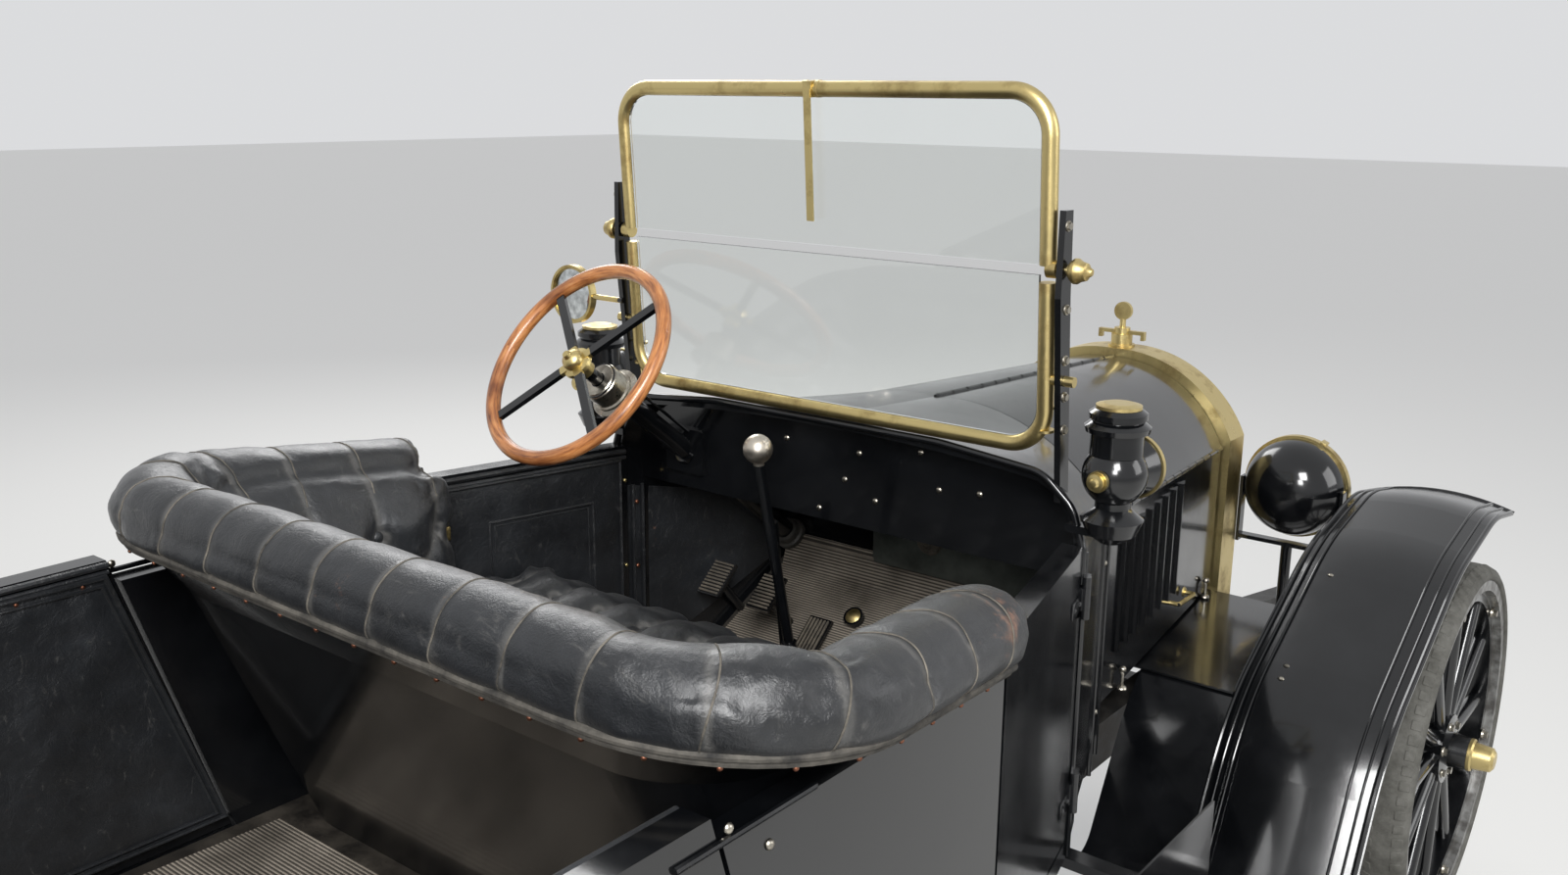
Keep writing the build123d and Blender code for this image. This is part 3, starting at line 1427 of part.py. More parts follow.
with BuildPart() as lamp_rims:
    for side in (-1, 1):
        with Locations(facing_front(side * headlamp_x, headlamp_y - 1, headlamp_height)):
            Cylinder(headlamp_radius + 3, 17)
            Cylinder(lamp_glass_radius + face_gap, 40, mode=Mode.SUBTRACT)
        with Locations((side * cowl_lamp_x, cowl_lamp_y, cowl_lamp_height)):
            add(cone_stack(COWL_LAMP_DISC))
        ring_y = cowl_lamp_y - cowl_bell_end - 4 - face_gap
        with Locations(facing_front(side * cowl_lamp_x, ring_y, cowl_lamp_height)):
            Cylinder(cowl_ring, 8)
            Cylinder(cowl_lens, 40, mode=Mode.SUBTRACT)
        # knob that turns the wick
        with Locations(facing_front(side * cowl_lamp_x, cowl_lamp_y + 54, cowl_lamp_height)):
            Cylinder(15.5, 8)
            Cylinder(7, 22)
        with Locations((side * cowl_lamp_x, cowl_lamp_y, cowl_lamp_height)):
            Sphere(cowl_lamp_radius + face_gap, mode=Mode.SUBTRACT)
save(lamp_rims.part, "lamp_rims")

with BuildPart() as lamp_glass:
    for side in (-1, 1):
        with Locations(facing_front(side * headlamp_x, headlamp_y - 4, headlamp_height)):
            Cylinder(lamp_glass_radius, lamp_glass_thickness)
        with Locations(facing_front(side * cowl_lamp_x, cowl_lamp_y - cowl_bell_end - 4, cowl_lamp_height)):
            Cylinder(cowl_lens - face_gap, lamp_glass_thickness)
save(lamp_glass.part, "lamp_glass")

# Controls: column, change lever, hand lever, pedals, treadle and foot button
toe_normal = Vector(0, toe_top_z - floor_z, toe_rear_y - toe_front_y).normalized()
toe_plane = Plane(origin=(0, toe_rear_y, floor_z), x_dir=(-1, 0, 0), z_dir=toe_normal)
stem_radius = 9.0
# across, up the toe board, height off it, width, length
PEDALS = (
    (372.0, 160.0, 112.0, 54.0, 78.0),
    (245.0, 160.0, 112.0, 54.0, 78.0),
    (167.0, 92.0, 18.0, 52.0, 176.0),
)
# end points of each straight of the two levers, with its radius
LEVERS = (
    ((0.0, 33.0, floor_z + face_gap), (0.0, 83.0, 864.0), 13.0),
    ((0.0, 81.0, 856.0), (0.0, 168.0, 1205.0), 9.0),
    ((72.0, -20.0, floor_z + face_gap), (72.0, 38.0, 1052.0), 8.0),
)
lever_knob_radius = 24.0
with BuildPart() as controls:
    add(steering_column.part)
    for x, up, off, width, length in PEDALS:
        with Locations(toe_plane):
            with Locations((-x, up, off)):
                Box(width, length, 8)
            with Locations((-x, up, face_gap)):
                Cylinder(stem_radius, off - face_gap, align=(Align.CENTER, Align.CENTER, Align.MIN))
    with Locations(toe_plane):
        with Locations((-108, 205, face_gap)):
            Cylinder(20, 16, align=(Align.CENTER, Align.CENTER, Align.MIN))
    for (x, low_y, low_z), (_, high_y, high_z), radius in LEVERS:
        low = Vector(x, screen_y + low_y, low_z)
        run = Vector(x, screen_y + high_y, high_z) - low
        with BuildSketch(Plane(origin=low, x_dir=(1, 0, 0), z_dir=run.normalized())):
            Circle(radius)
        extrude(amount=run.length)
    with Locations((0, screen_y + 168, 1219)):
        Sphere(lever_knob_radius)
    with BuildSketch(Plane.XY.offset(floor_z + face_gap - 60)):
        with Locations((36, screen_y + 20)):
            Rectangle(160, 160)
    extrude(amount=60, mode=Mode.SUBTRACT)
save(controls.part, "controls")
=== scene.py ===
"""Brass era touring car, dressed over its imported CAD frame.

The file is laid out as an add-on and run as a script. Lengths are metres in the CAD's own frame:
X to the car's left, -Y to its front, Z up from the ground.
"""

import json
import math

import bmesh
import bpy
import numpy as np
from bpy.props import FloatProperty, FloatVectorProperty, IntProperty, PointerProperty
from mathutils import Matrix, Vector, noise
from mathutils.bvhtree import BVHTree

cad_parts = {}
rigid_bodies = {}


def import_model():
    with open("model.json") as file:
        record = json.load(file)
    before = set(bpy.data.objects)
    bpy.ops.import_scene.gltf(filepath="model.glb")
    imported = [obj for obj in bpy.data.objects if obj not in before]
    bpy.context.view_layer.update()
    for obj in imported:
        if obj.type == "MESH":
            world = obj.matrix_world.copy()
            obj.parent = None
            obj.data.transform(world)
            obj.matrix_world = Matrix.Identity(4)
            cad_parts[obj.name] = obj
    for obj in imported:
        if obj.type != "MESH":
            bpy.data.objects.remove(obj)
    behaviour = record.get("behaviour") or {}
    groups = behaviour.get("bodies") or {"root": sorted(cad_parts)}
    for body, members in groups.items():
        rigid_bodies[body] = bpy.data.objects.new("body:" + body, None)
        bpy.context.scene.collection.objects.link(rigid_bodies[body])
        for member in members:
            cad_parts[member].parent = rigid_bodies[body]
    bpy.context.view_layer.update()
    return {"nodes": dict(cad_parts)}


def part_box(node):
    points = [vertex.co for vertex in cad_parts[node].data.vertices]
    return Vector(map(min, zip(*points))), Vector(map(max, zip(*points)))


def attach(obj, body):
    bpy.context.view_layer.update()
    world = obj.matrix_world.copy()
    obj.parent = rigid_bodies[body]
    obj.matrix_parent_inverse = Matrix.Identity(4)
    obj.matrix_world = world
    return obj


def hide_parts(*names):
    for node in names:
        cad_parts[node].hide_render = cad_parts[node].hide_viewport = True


bl_info = {
    "name": "Brass era touring car",
    "version": (1, 0, 0),
    "blender": (4, 5, 0),
    "location": "View3D > Sidebar > Touring car",
    "description": "Leather, paint, brass, rubber and small fittings over the packed car",
    "category": "Object",
}

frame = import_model()
NODES = frame["nodes"]

# Places on the car, from the CAD's named sizes
SIDES = (("left", 1), ("right", -1))
UP = Vector((0, 0, 1))
SCREEN_Y = -0.2325
SCREEN_FOOT_Z = 1.256
SCREEN_LEAN = 0.069
FRONT_AXLE_Y = -1.462
REAR_AXLE_Y = 1.408
AXLES = (("front", FRONT_AXLE_Y), ("rear", REAR_AXLE_Y))
WHEEL_X = 0.762
AXLE_Z = 0.406
BONNET_FRONT_Y = -1.3455
BONNET_BACK_Y = -0.5935
BONNET_FRONT = (0.272, 1.014, 1.187)
BONNET_REAR = (0.365, 1.055, 1.218)
WHEEL_CENTRE = Vector((0.361, -0.0155, 1.321))
COLUMN_AXIS = Vector((0.0610, 0.7811, 0.6214)).normalized()
TOE_NORMAL = Vector((0.0, 0.196, 0.224)).normalized()
TOE_UP = Vector((0.0, -0.224, 0.196)).normalized()
TOE_FOOT = Vector((0.0, -0.3445, 0.6353))
SCREEN_PIVOT = (-0.2138, 1.527)
HEADLAMP = (0.404, -1.4675, 0.925)
HEADLAMP_DEPTH = 0.105
TYRE_HOLLOW = 0.3660
WING_EDGE_X = 0.815
CREASE_ANGLE = math.radians(40.0)


def ws(y):
    """Y of a place given in millimetres behind the foot of the windscreen."""
    return SCREEN_Y + y / 1000


def screen_y(z):
    """Y of the leaning windscreen at a height."""
    return SCREEN_Y + (z - SCREEN_FOOT_Z) * SCREEN_LEAN


def linear(hex_colour):
    """Linear RGBA of an sRGB hex colour."""
    parts = [int(hex_colour[i : i + 2], 16) / 255 for i in (1, 3, 5)]
    return tuple(c / 12.92 if c <= 0.04045 else ((c + 0.055) / 1.055) ** 2.4 for c in parts) + (1.0,)


# Settings that a user would change
def length_setting(name, description, default):
    return FloatProperty(name=name, description=description, default=default, unit="LENGTH")


def colour_setting(name, description, hex_colour):
    return FloatVectorProperty(
        name=name, description=description, subtype="COLOR", size=4, default=linear(hex_colour)
    )


class SeatSettings(bpy.types.PropertyGroup):
    seam_pitch: length_setting("Seam pitch", "Distance between seams along a roll", 0.1125)
    seam_start: length_setting("First seam", "Place of the first seam along the roll", 0.0175)
    button_pitch: length_setting("Button pitch", "Distance between buttons across a cushion", 0.106)
    pleat_depth: length_setting("Pleat depth", "How deep a pleat is drawn in", 0.009)
    leather: colour_setting("Leather", "Colour of the dyed face", "#101113")
    worn: colour_setting("Worn leather", "Colour where the dye has rubbed off", "#86604A")


class FinishSettings(bpy.types.PropertyGroup):
    enamel: colour_setting("Enamel", "Colour of the black enamel", "#08090B")
    brass: colour_setting("Brass", "Colour of the aged brass", "#CDBA82")
    tarnish: colour_setting("Tarnish", "Colour of the tarnish on the brass", "#978152")
    wood: colour_setting("Rim wood", "Colour of the varnished rim", "#BE7C47")
    rubber: colour_setting("Tyre rubber", "Colour of the worn tyre", "#6F6E69")


class FittingSettings(bpy.types.PropertyGroup):
    tread_blocks: IntProperty(
        name="Tread blocks", description="Shoulder blocks round a tyre", default=84, min=24, max=160
    )
    bead_radius: length_setting("Edge bead", "Radius of the wired edge of a wing", 0.005)
    nail_pitch: length_setting("Nail pitch", "Distance between trim nails", 0.075)


# Materials
def add_node(tree, kind, inputs=None, stops=(), **settings):
    """Adds a shader node with its settings and colour stops; an input is a value, a socket or a node."""
    node = tree.nodes.new(f"ShaderNode{kind}")
    for name, value in settings.items():
        setattr(node, name, value)
    for index, (position, colour) in enumerate(stops):
        elements = node.color_ramp.elements
        stop = elements[index] if index < 2 else elements.new(position)
        stop.position, stop.color = position, colour
    for name, value in (inputs or {}).items():
        if isinstance(value, bpy.types.Node):
            value = next(socket for socket in value.outputs if socket.enabled)
        if isinstance(value, bpy.types.NodeSocket):
            tree.links.new(value, node.inputs[name])
        else:
            node.inputs[name].default_value = value
    return node


def new_material(name, finish, *details):
    """Material whose surface is the shader that finish makes on the piece's Object coordinates."""
    material = bpy.data.materials.new(name)
    material.use_nodes = True
    tree = material.node_tree
    tree.nodes.clear()
    place = add_node(tree, "TexCoord").outputs["Object"]
    add_node(tree, "OutputMaterial", {"Surface": finish(tree, place, *details)})
    return material


def seen_rays(tree):
    """1 for the rays that show the background: the camera's, and those seen in gloss and through glass."""
    path = add_node(tree, "LightPath").outputs
    straight = add_node(tree, "Math", {0: path["Is Camera Ray"], 1: path["Is Transmission Ray"]}, operation="MAXIMUM")
    return add_node(tree, "Math", {0: straight, 1: path["Is Glossy Ray"]}, operation="MAXIMUM")


def enamel(tree, place):
    """Black stoving enamel: deep gloss under a thin dust, with a faint brush-out of its coats."""
    colour = tuple(bpy.context.scene.car_finish.enamel)
    dusty = tuple(c * 1.8 + 0.002 for c in colour[:3]) + (1.0,)
    dust = add_node(tree, "TexNoise", {"Vector": place, "Scale": 6.0, "Detail": 8.0, "Roughness": 0.62})
    specks = add_node(tree, "TexNoise", {"Vector": place, "Scale": 180.0, "Detail": 2.0})
    tint = add_node(tree, "ValToRGB", {"Fac": dust}, ((0.42, colour), (0.78, dusty)))
    dull = add_node(
        tree, "MapRange", {"Value": dust, "From Min": 0.35, "From Max": 0.75, "To Min": 0.12, "To Max": 0.28}
    )
    bump = add_node(tree, "Bump", {"Height": specks, "Strength": 0.05, "Distance": 0.001})
    gloss = {"Roughness": dull, "Coat Weight": 0.3, "Coat Roughness": 0.08}
    return add_node(tree, "BsdfPrincipled", {"Base Color": tint, "Normal": bump, **gloss})


def satin_brass(tree, place, bright=None, dull=None):
    """Aged brass, or another metal: rubbed and satin, with brown tarnish in its low places."""
    finish = bpy.context.scene.car_finish
    clouds = add_node(tree, "TexNoise", {"Vector": place, "Scale": 14.0, "Detail": 9.0, "Roughness": 0.66})
    scratches = add_node(tree, "TexNoise", {"Vector": place, "Scale": 420.0, "Detail": 3.0})
    stops = (0.32, dull or tuple(finish.tarnish)), (0.50, bright or tuple(finish.brass))
    colour = add_node(tree, "ValToRGB", {"Fac": clouds}, stops)
    rough = add_node(
        tree, "MapRange", {"Value": clouds, "From Min": 0.3, "From Max": 0.7, "To Min": 0.46, "To Max": 0.27}
    )
    bump = add_node(tree, "Bump", {"Height": scratches, "Strength": 0.12, "Distance": 0.0006})
    return add_node(
        tree, "BsdfPrincipled", {"Base Color": colour, "Metallic": 1.0, "Roughness": rough, "Normal": bump}
    )


def part_painted(tree, place, mask, *metal):
    """Enamel, with metal where the mask is 1, for a CAD piece that is painted in part."""
    bare = satin_brass(tree, place, *metal)
    return add_node(tree, "MixShader", {0: mask(tree, place), 1: enamel(tree, place), 2: bare})


def across_mask(tree, place, low, high):
    """1 where the distance from the car's middle plane lies between low and high."""
    parts = add_node(tree, "SeparateXYZ", {"Vector": place})
    out = add_node(tree, "Math", {0: parts.outputs["X"]}, operation="ABSOLUTE")
    above = add_node(tree, "Math", {0: out, 1: low}, operation="GREATER_THAN")
    below = add_node(tree, "Math", {0: out, 1: high}, operation="LESS_THAN")
    return add_node(tree, "Math", {0: above, 1: below}, operation="MULTIPLY")


def near_mask(tree, place, centre, radius):
    """1 inside a ball."""
    far = add_node(tree, "VectorMath", {0: place, 1: tuple(centre)}, operation="DISTANCE")
    return add_node(tree, "Math", {0: far, 1: radius}, operation="LESS_THAN")


def screen_mask(tree, place):
    """Brass apart from the two iron stanchions beside the frame."""
    iron = across_mask(tree, place, 0.4372, 0.4478)
    return add_node(tree, "Math", {0: 1.0, 1: iron}, operation="SUBTRACT")


def hub_mask(tree, place):
    """Brass at the boss of the steering wheel."""
    return near_mask(tree, place, WHEEL_CENTRE, 0.0335)


def lever_mask(tree, place):
    """Metal at the change lever's knob."""
    return near_mask(tree, place, (0.0, ws(168), 1.219), 0.0285)


def wheel_finish(tree, place, centre_y):
    """Black enamelled wheel with a bare steel rim and a brass hub cap."""
    rust = add_node(tree, "TexNoise", {"Vector": place, "Scale": 40.0, "Detail": 8.0})
    colour = add_node(tree, "ValToRGB", {"Fac": rust}, ((0.4, linear("#6A6865")), (0.66, linear("#A3A3A1"))))
    steel = add_node(tree, "BsdfPrincipled", {"Base Color": colour, "Metallic": 0.75, "Roughness": 0.42})
    flat = add_node(
        tree, "VectorMath", {0: place, 1: (0.0, 1.0, 1.0), 2: (0.0, -centre_y, -AXLE_Z)}, operation="MULTIPLY_ADD"
    )
    radius = add_node(tree, "VectorMath", {0: flat}, operation="LENGTH")
    on_rim = add_node(tree, "Math", {0: radius, 1: 0.343}, operation="GREATER_THAN")
    rimmed = add_node(tree, "MixShader", {0: on_rim, 1: enamel(tree, place), 2: steel})
    cap = across_mask(tree, place, 0.8275, 2.0)
    return add_node(tree, "MixShader", {0: cap, 1: rimmed, 2: satin_brass(tree, place)})


def leather(tree, place):
    """Old buttoned hide: dark dyed face, fine grain, seams and button rims made paler (partly rubbed wear, partly a
    painted highlight on their crests), and tan where the dye has gone.
    """
    seats = bpy.context.scene.car_seats
    seam = add_node(tree, "Attribute", attribute_name="seam").outputs["Fac"]
    worn_here = add_node(tree, "Attribute", attribute_name="wear").outputs["Fac"]
    stretched = add_node(tree, "Mapping", {"Vector": place, "Rotation": (0.3, 0.5, 0.9), "Scale": (1.0, 4.5, 2.0)})
    clouds, patches, creases, streaks = (
        add_node(
            tree, "TexNoise",
            {"Vector": where, "Scale": scale, "Detail": detail, "Roughness": rough, "Distortion": distortion},
        )
        for where, scale, detail, rough, distortion in (
            (place, 5.5, 10.0, 0.68, 0.0), (place, 11.0, 12.0, 0.75, 0.6), (place, 46.0, 7.0, 0.7, 1.1),
            (stretched, 13.0, 12.0, 0.78, 0.9),
        )
    )
    # hide grain is about 1 mm; it is drawn at 3 mm so that it shows
    grain = add_node(tree, "TexVoronoi", {"Vector": place, "Scale": 340.0, "Randomness": 1.0})
    stops = (0.3, tuple(seats.leather)), (0.6, linear("#1C1E21")), (0.8, linear("#2D3034"))
    base = add_node(tree, "ValToRGB", {"Fac": clouds}, stops)
    scuffs = add_node(
        tree, "MapRange", {"Value": streaks, "From Min": 0.58, "From Max": 0.74, "To Min": 0.0, "To Max": 0.34}
    )
    # the seam attribute paints the seams and the rings round the buttons paler: partly rubbed wear, partly a painted
    # highlight
    pale = add_node(tree, "Math", {0: seam, 1: 0.30, 2: scuffs}, operation="MULTIPLY_ADD")
    rubbed_and_highlit = add_node(tree, "Mix", {"Factor": pale, "A": base, "B": linear("#7D7B77")}, data_type="RGBA")
    lift = add_node(tree, "Math", {0: seam, 1: 0.035, 2: patches}, operation="MULTIPLY_ADD")
    lift = add_node(tree, "Math", {0: lift, 1: worn_here}, operation="ADD")
    mask = add_node(
        tree, "MapRange", {"Value": lift, "From Min": 0.66, "From Max": 0.76, "To Min": 0.0, "To Max": 0.75}
    )
    colour = add_node(tree, "Mix", {"Factor": mask, "A": rubbed_and_highlit, "B": tuple(seats.worn)}, data_type="RGBA")
    rough = add_node(
        tree, "MapRange", {"Value": clouds, "From Min": 0.3, "From Max": 0.7, "To Min": 0.29, "To Max": 0.46}
    )
    fine = add_node(tree, "Bump", {"Height": grain, "Strength": 0.16, "Distance": 0.0012})
    folded = add_node(tree, "Bump", {"Height": creases, "Strength": 0.42, "Distance": 0.005, "Normal": fine})
    sheen = {"Sheen Weight": 0.03, "Coat Weight": 0.18, "Coat Roughness": 0.3}
    return add_node(
        tree, "BsdfPrincipled", {"Base Color": colour, "Roughness": rough, "Normal": folded, **sheen}
    )


def rim_wood(tree, place):
    """Varnished beech rim: reddish brown, its grain led round the wheel."""
    turn = tuple(COLUMN_AXIS.to_track_quat("Z", "Y").to_euler())
    turned = add_node(
        tree, "Mapping", {"Vector": place, "Location": tuple(WHEEL_CENTRE), "Rotation": turn}, vector_type="TEXTURE"
    )
    parts = add_node(tree, "SeparateXYZ", {"Vector": turned}).outputs
    angle = add_node(tree, "Math", {0: parts["Y"], 1: parts["X"]}, operation="ARCTAN2")
    reach = add_node(tree, "VectorMath", {0: turned}, operation="LENGTH")
    around = add_node(tree, "Math", {0: angle, 1: 0.02}, operation="MULTIPLY")
    along = add_node(tree, "CombineXYZ", {"X": around, "Y": reach, "Z": parts["Z"]})
    grain = add_node(tree, "TexNoise", {"Vector": along, "Scale": 210.0, "Detail": 9.0, "Roughness": 0.6})
    handled = add_node(tree, "TexNoise", {"Vector": place, "Scale": 9.0, "Detail": 6.0})
    stops = (0.3, linear("#6E3B1D")), (0.52, tuple(bpy.context.scene.car_finish.wood)), (0.75, linear("#D49C66"))
    figure = add_node(tree, "ValToRGB", {"Fac": grain}, stops)
    dark = add_node(tree, "ValToRGB", {"Fac": handled}, ((0.34, linear("#8A6C5C")), (0.55, linear("#FFFFFF"))))
    colour = add_node(
        tree, "Mix", {"Factor": 0.8, "A": figure, "B": dark}, data_type="RGBA", blend_type="MULTIPLY"
    )
    bump = add_node(tree, "Bump", {"Height": grain, "Strength": 0.12, "Distance": 0.001})
    varnish = {"Roughness": 0.36, "Coat Weight": 0.45, "Coat Roughness": 0.18}
    return add_node(tree, "BsdfPrincipled", {"Base Color": colour, "Normal": bump, **varnish})


def rubber(tree, place, dark, light, grit, distance):
    """Worn vulcanised rubber: matt, dusty in its low places, with grit in its face."""
    dust = add_node(tree, "TexNoise", {"Vector": place, "Scale": 18.0, "Detail": 11.0, "Roughness": 0.72})
    grains = add_node(tree, "TexNoise", {"Vector": place, "Scale": grit, "Detail": 8.0})
    colour = add_node(tree, "ValToRGB", {"Fac": dust}, ((0.34, dark), (0.66, light)))
    bump = add_node(tree, "Bump", {"Height": grains, "Strength": 0.5, "Distance": distance})
    return add_node(tree, "BsdfPrincipled", {"Base Color": colour, "Roughness": 0.84, "Normal": bump})


def matting(tree, place):
    """Ribbed rubber matting: grey-brown, clouded with dust, ribs across the car, darker in their troughs."""
    # the ribs run across the floor, the toe board and the strip between them, all three on one slant
    slanted = add_node(tree, "Mapping", {"Vector": place, "Rotation": (0.72, 0.0, 0.0)})
    # ribs are 4 mm apart on the real mat; they are drawn at 5 to 7 mm so that they show
    ribs = add_node(
        tree, "TexWave", {"Vector": slanted, "Scale": 60.0, "Distortion": 0.15, "Detail": 1.0},
        wave_type="BANDS", bands_direction="Y", wave_profile="SIN",
    ).outputs["Fac"]
    dust = add_node(tree, "TexNoise", {"Vector": place, "Scale": 7.0, "Detail": 10.0})
    clouded = add_node(tree, "ValToRGB", {"Fac": dust}, ((0.35, linear("#5C554B")), (0.65, linear("#A1978A"))))
    # the troughs between the ribs are drawn darker than the rib tops
    lines = add_node(tree, "ValToRGB", {"Fac": ribs}, ((0.15, linear("#7B7B7B")), (0.7, linear("#FFFFFF"))))
    colour = add_node(
        tree, "Mix", {"Factor": 1.0, "A": clouded, "B": lines}, data_type="RGBA", blend_type="MULTIPLY"
    )
    bump = add_node(tree, "Bump", {"Height": ribs, "Strength": 0.8, "Distance": 0.002})
    return add_node(tree, "BsdfPrincipled", {"Base Color": colour, "Roughness": 0.78, "Normal": bump})


def chassis_paint(tree, place, dark, light, metallic):
    """Brushed chassis paint or bare casting: satin, with road dust and oil."""
    grime = add_node(tree, "TexNoise", {"Vector": place, "Scale": 16.0, "Detail": 10.0, "Roughness": 0.7})
    cast = add_node(tree, "TexNoise", {"Vector": place, "Scale": 260.0, "Detail": 4.0})
    colour = add_node(tree, "ValToRGB", {"Fac": grime}, ((0.35, dark), (0.7, light)))
    rough = add_node(
        tree, "MapRange", {"Value": grime, "From Min": 0.3, "From Max": 0.7, "To Min": 0.4, "To Max": 0.7}
    )
    bump = add_node(tree, "Bump", {"Height": cast, "Strength": 0.25, "Distance": 0.001})
    return add_node(
        tree, "BsdfPrincipled", {"Base Color": colour, "Metallic": metallic, "Roughness": rough, "Normal": bump}
    )


def radiator_grille(tree, place):
    """Tube and fin radiator core: black fins 3 mm apart on the real one, drawn at 7 mm, with dusty edges."""
    fins, tubes = (
        add_node(tree, "TexWave", {"Vector": place, "Scale": scale, "Distortion": 0.1}, bands_direction=way)
        for way, scale in (("Z", 45.0), ("X", 26.0))
    )
    both = add_node(tree, "Math", {0: fins.outputs["Fac"], 1: tubes.outputs["Fac"]}, operation="MAXIMUM")
    colour = add_node(tree, "ValToRGB", {"Fac": both}, ((0.4, linear("#050505")), (0.85, linear("#3B3833"))))
    bump = add_node(tree, "Bump", {"Height": both, "Strength": 1.0, "Distance": 0.004})
    return add_node(
        tree, "BsdfPrincipled", {"Base Color": colour, "Metallic": 0.4, "Roughness": 0.55, "Normal": bump}
    )


def plated(tree, place, colour, rough):
    """Worn plated or copper fitting: bright where hands and tools touch it."""
    wear = add_node(tree, "TexNoise", {"Vector": place, "Scale": 70.0, "Detail": 8.0})
    dull = tuple(c * 0.55 for c in colour[:3]) + (1.0,)
    shade = add_node(tree, "ValToRGB", {"Fac": wear}, ((0.35, dull), (0.62, colour)))
    spread = add_node(
        tree, "MapRange", {"Value": wear, "From Min": 0.3, "From Max": 0.7, "To Min": rough + 0.15, "To Max": rough}
    )
    return add_node(tree, "BsdfPrincipled", {"Base Color": shade, "Metallic": 1.0, "Roughness": spread})


def plate_glass(tree, place):
    """Early drawn plate glass: clear, faintly green, with a little dust."""
    dust = add_node(tree, "TexNoise", {"Vector": place, "Scale": 4.0, "Detail": 8.0})
    film = add_node(
        tree, "MapRange", {"Value": dust, "From Min": 0.45, "From Max": 0.8, "To Min": 0.0, "To Max": 0.025}
    )
    clear = {"Base Color": linear("#FBFEFC"), "Roughness": 0.0, "Transmission Weight": 1.0, "IOR": 1.45}
    dusty = {"Base Color": linear("#B9BBB6"), "Roughness": 0.8}
    shaders = [add_node(tree, "BsdfPrincipled", values) for values in (clear, dusty)]
    return add_node(tree, "MixShader", {0: film, 1: shaders[0], 2: shaders[1]})


def pale_floor(tree, place):
    """Pale matt floor that keeps shadows and glows a little where it is seen."""
    shader = add_node(tree, "BsdfPrincipled", {"Base Color": linear("#B4B3AF"), "Roughness": 0.9})
    lift = add_node(tree, "Math", {0: seen_rays(tree), 1: 0.42}, operation="MULTIPLY")
    glow = add_node(tree, "Emission", {"Color": linear("#F2F3F5"), "Strength": lift})
    return add_node(tree, "AddShader", {0: shader, 1: glow})


# each finish: the material's name, the function that makes it, and its details
MATERIAL_TABLE = {
    "enamel": ("black_stoving_enamel", enamel),
    "brass": ("aged_brass", satin_brass),
    "leather": ("worn_black_leather", leather),
    "wood": ("varnished_rim_wood", rim_wood),
    "tyre": ("worn_tyre_rubber", rubber, "#45443F", "rubber", 320.0, 0.0014),
    "seam": ("rubbed_seam_leather", rubber, "#1C1B19", "#736D63", 300.0, 0.0005),
    "pedal": ("pedal_rubber", rubber, "#2A2723", "#6E665A", 500.0, 0.0008),
    "mat": ("ribbed_rubber_mat", matting),
    "chassis": ("chassis_black", chassis_paint, "#0E0E0F", "#2B2824", 0.0),
    "casting": ("grey_iron_casting", chassis_paint, "#2B2A28", "#55524D", 0.4),
    "core": ("radiator_fins", radiator_grille),
    "nickel": ("worn_nickel", plated, "#B9B3A6", 0.24),
    "copper": ("copper_nail", plated, "#8E5F4B", 0.42),
    "welt": ("rubbed_welt_leather", rubber, "#171615", "#5F5B54", 220.0, 0.0005),
    "cover": ("grey_green_paint", chassis_paint, "#2A2E2B", "#4C504B", 0.0),
    "glass": ("plate_glass", plate_glass),
    "boards": ("painted_boards", chassis_paint, "#1A1816", "#3A352E", 0.0),
    "mirror": ("silvered_glass", plated, "#D9DDDD", 0.03),
    "wheel_front": ("front_wheel_finish", wheel_finish, FRONT_AXLE_Y),
    "wheel_rear": ("rear_wheel_finish", wheel_finish, REAR_AXLE_Y),
    "screen": ("screen_frame_finish", part_painted, screen_mask),
    "levers": ("lever_finish", part_painted, lever_mask, "#CBC3B6", "#8A8174"),
    "spider": ("wheel_spider_finish", part_painted, hub_mask),
}
MATERIALS = {}


def make_materials():
    """Makes each material once and keeps it by name."""
    settings = bpy.context.scene.car_finish
    for key, (name, finish, *details) in MATERIAL_TABLE.items():
        for index, detail in enumerate(details):
            if isinstance(detail, str):
                details[index] = linear(detail) if detail[0] == "#" else tuple(getattr(settings, detail))
        MATERIALS[key] = new_material(name, finish, *details)


# Shared ways of making a piece
def new_object(name, bm):
    """Object made of a bmesh, in the scene."""
    mesh = bpy.data.meshes.new(name)
    bm.to_mesh(mesh)
    bm.free()
    piece = bpy.data.objects.new(name, mesh)
    bpy.context.scene.collection.objects.link(piece)
    return piece


def finish_piece(name, bm, material, body="car_body"):
    """Writes a bmesh to an object with its material, smooth up to the crease angle, riding on its body."""
    bmesh.ops.recalc_face_normals(bm, faces=bm.faces)
    for face in bm.faces:
        face.smooth = True
    for edge in bm.edges:
        edge.smooth = edge.calc_face_angle(0.0) < CREASE_ANGLE
    piece = new_object(name, bm)
    piece.data.materials.append(MATERIALS[material])
    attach(piece, body)
    return piece


def add_bead(bm, points, radius, closed=False, resolution=2):
    """Adds a round bead led along the points."""
    curve = bpy.data.curves.new("bead", "CURVE")
    curve.dimensions = "3D"
    spline = curve.splines.new("POLY")
    spline.points.add(len(points) - 1)
    for knot, point in zip(spline.points, points):
        knot.co = (*point, 1.0)
    spline.use_cyclic_u = closed
    curve.bevel_depth = radius
    curve.bevel_resolution = resolution
    curve.use_fill_caps = not closed
    carrier = bpy.data.objects.new("bead", curve)
    mesh = bpy.data.meshes.new_from_object(carrier)
    bm.from_mesh(mesh)
    bpy.data.objects.remove(carrier)
    bpy.data.curves.remove(curve)
    bpy.data.meshes.remove(mesh)


def facing(centre, normal):
    """Matrix that puts a shape at centre with its Z along normal."""
    turn = Vector(normal).normalized().to_track_quat("Z", "Y").to_matrix().to_4x4()
    return Matrix.Translation(Vector(centre)) @ turn


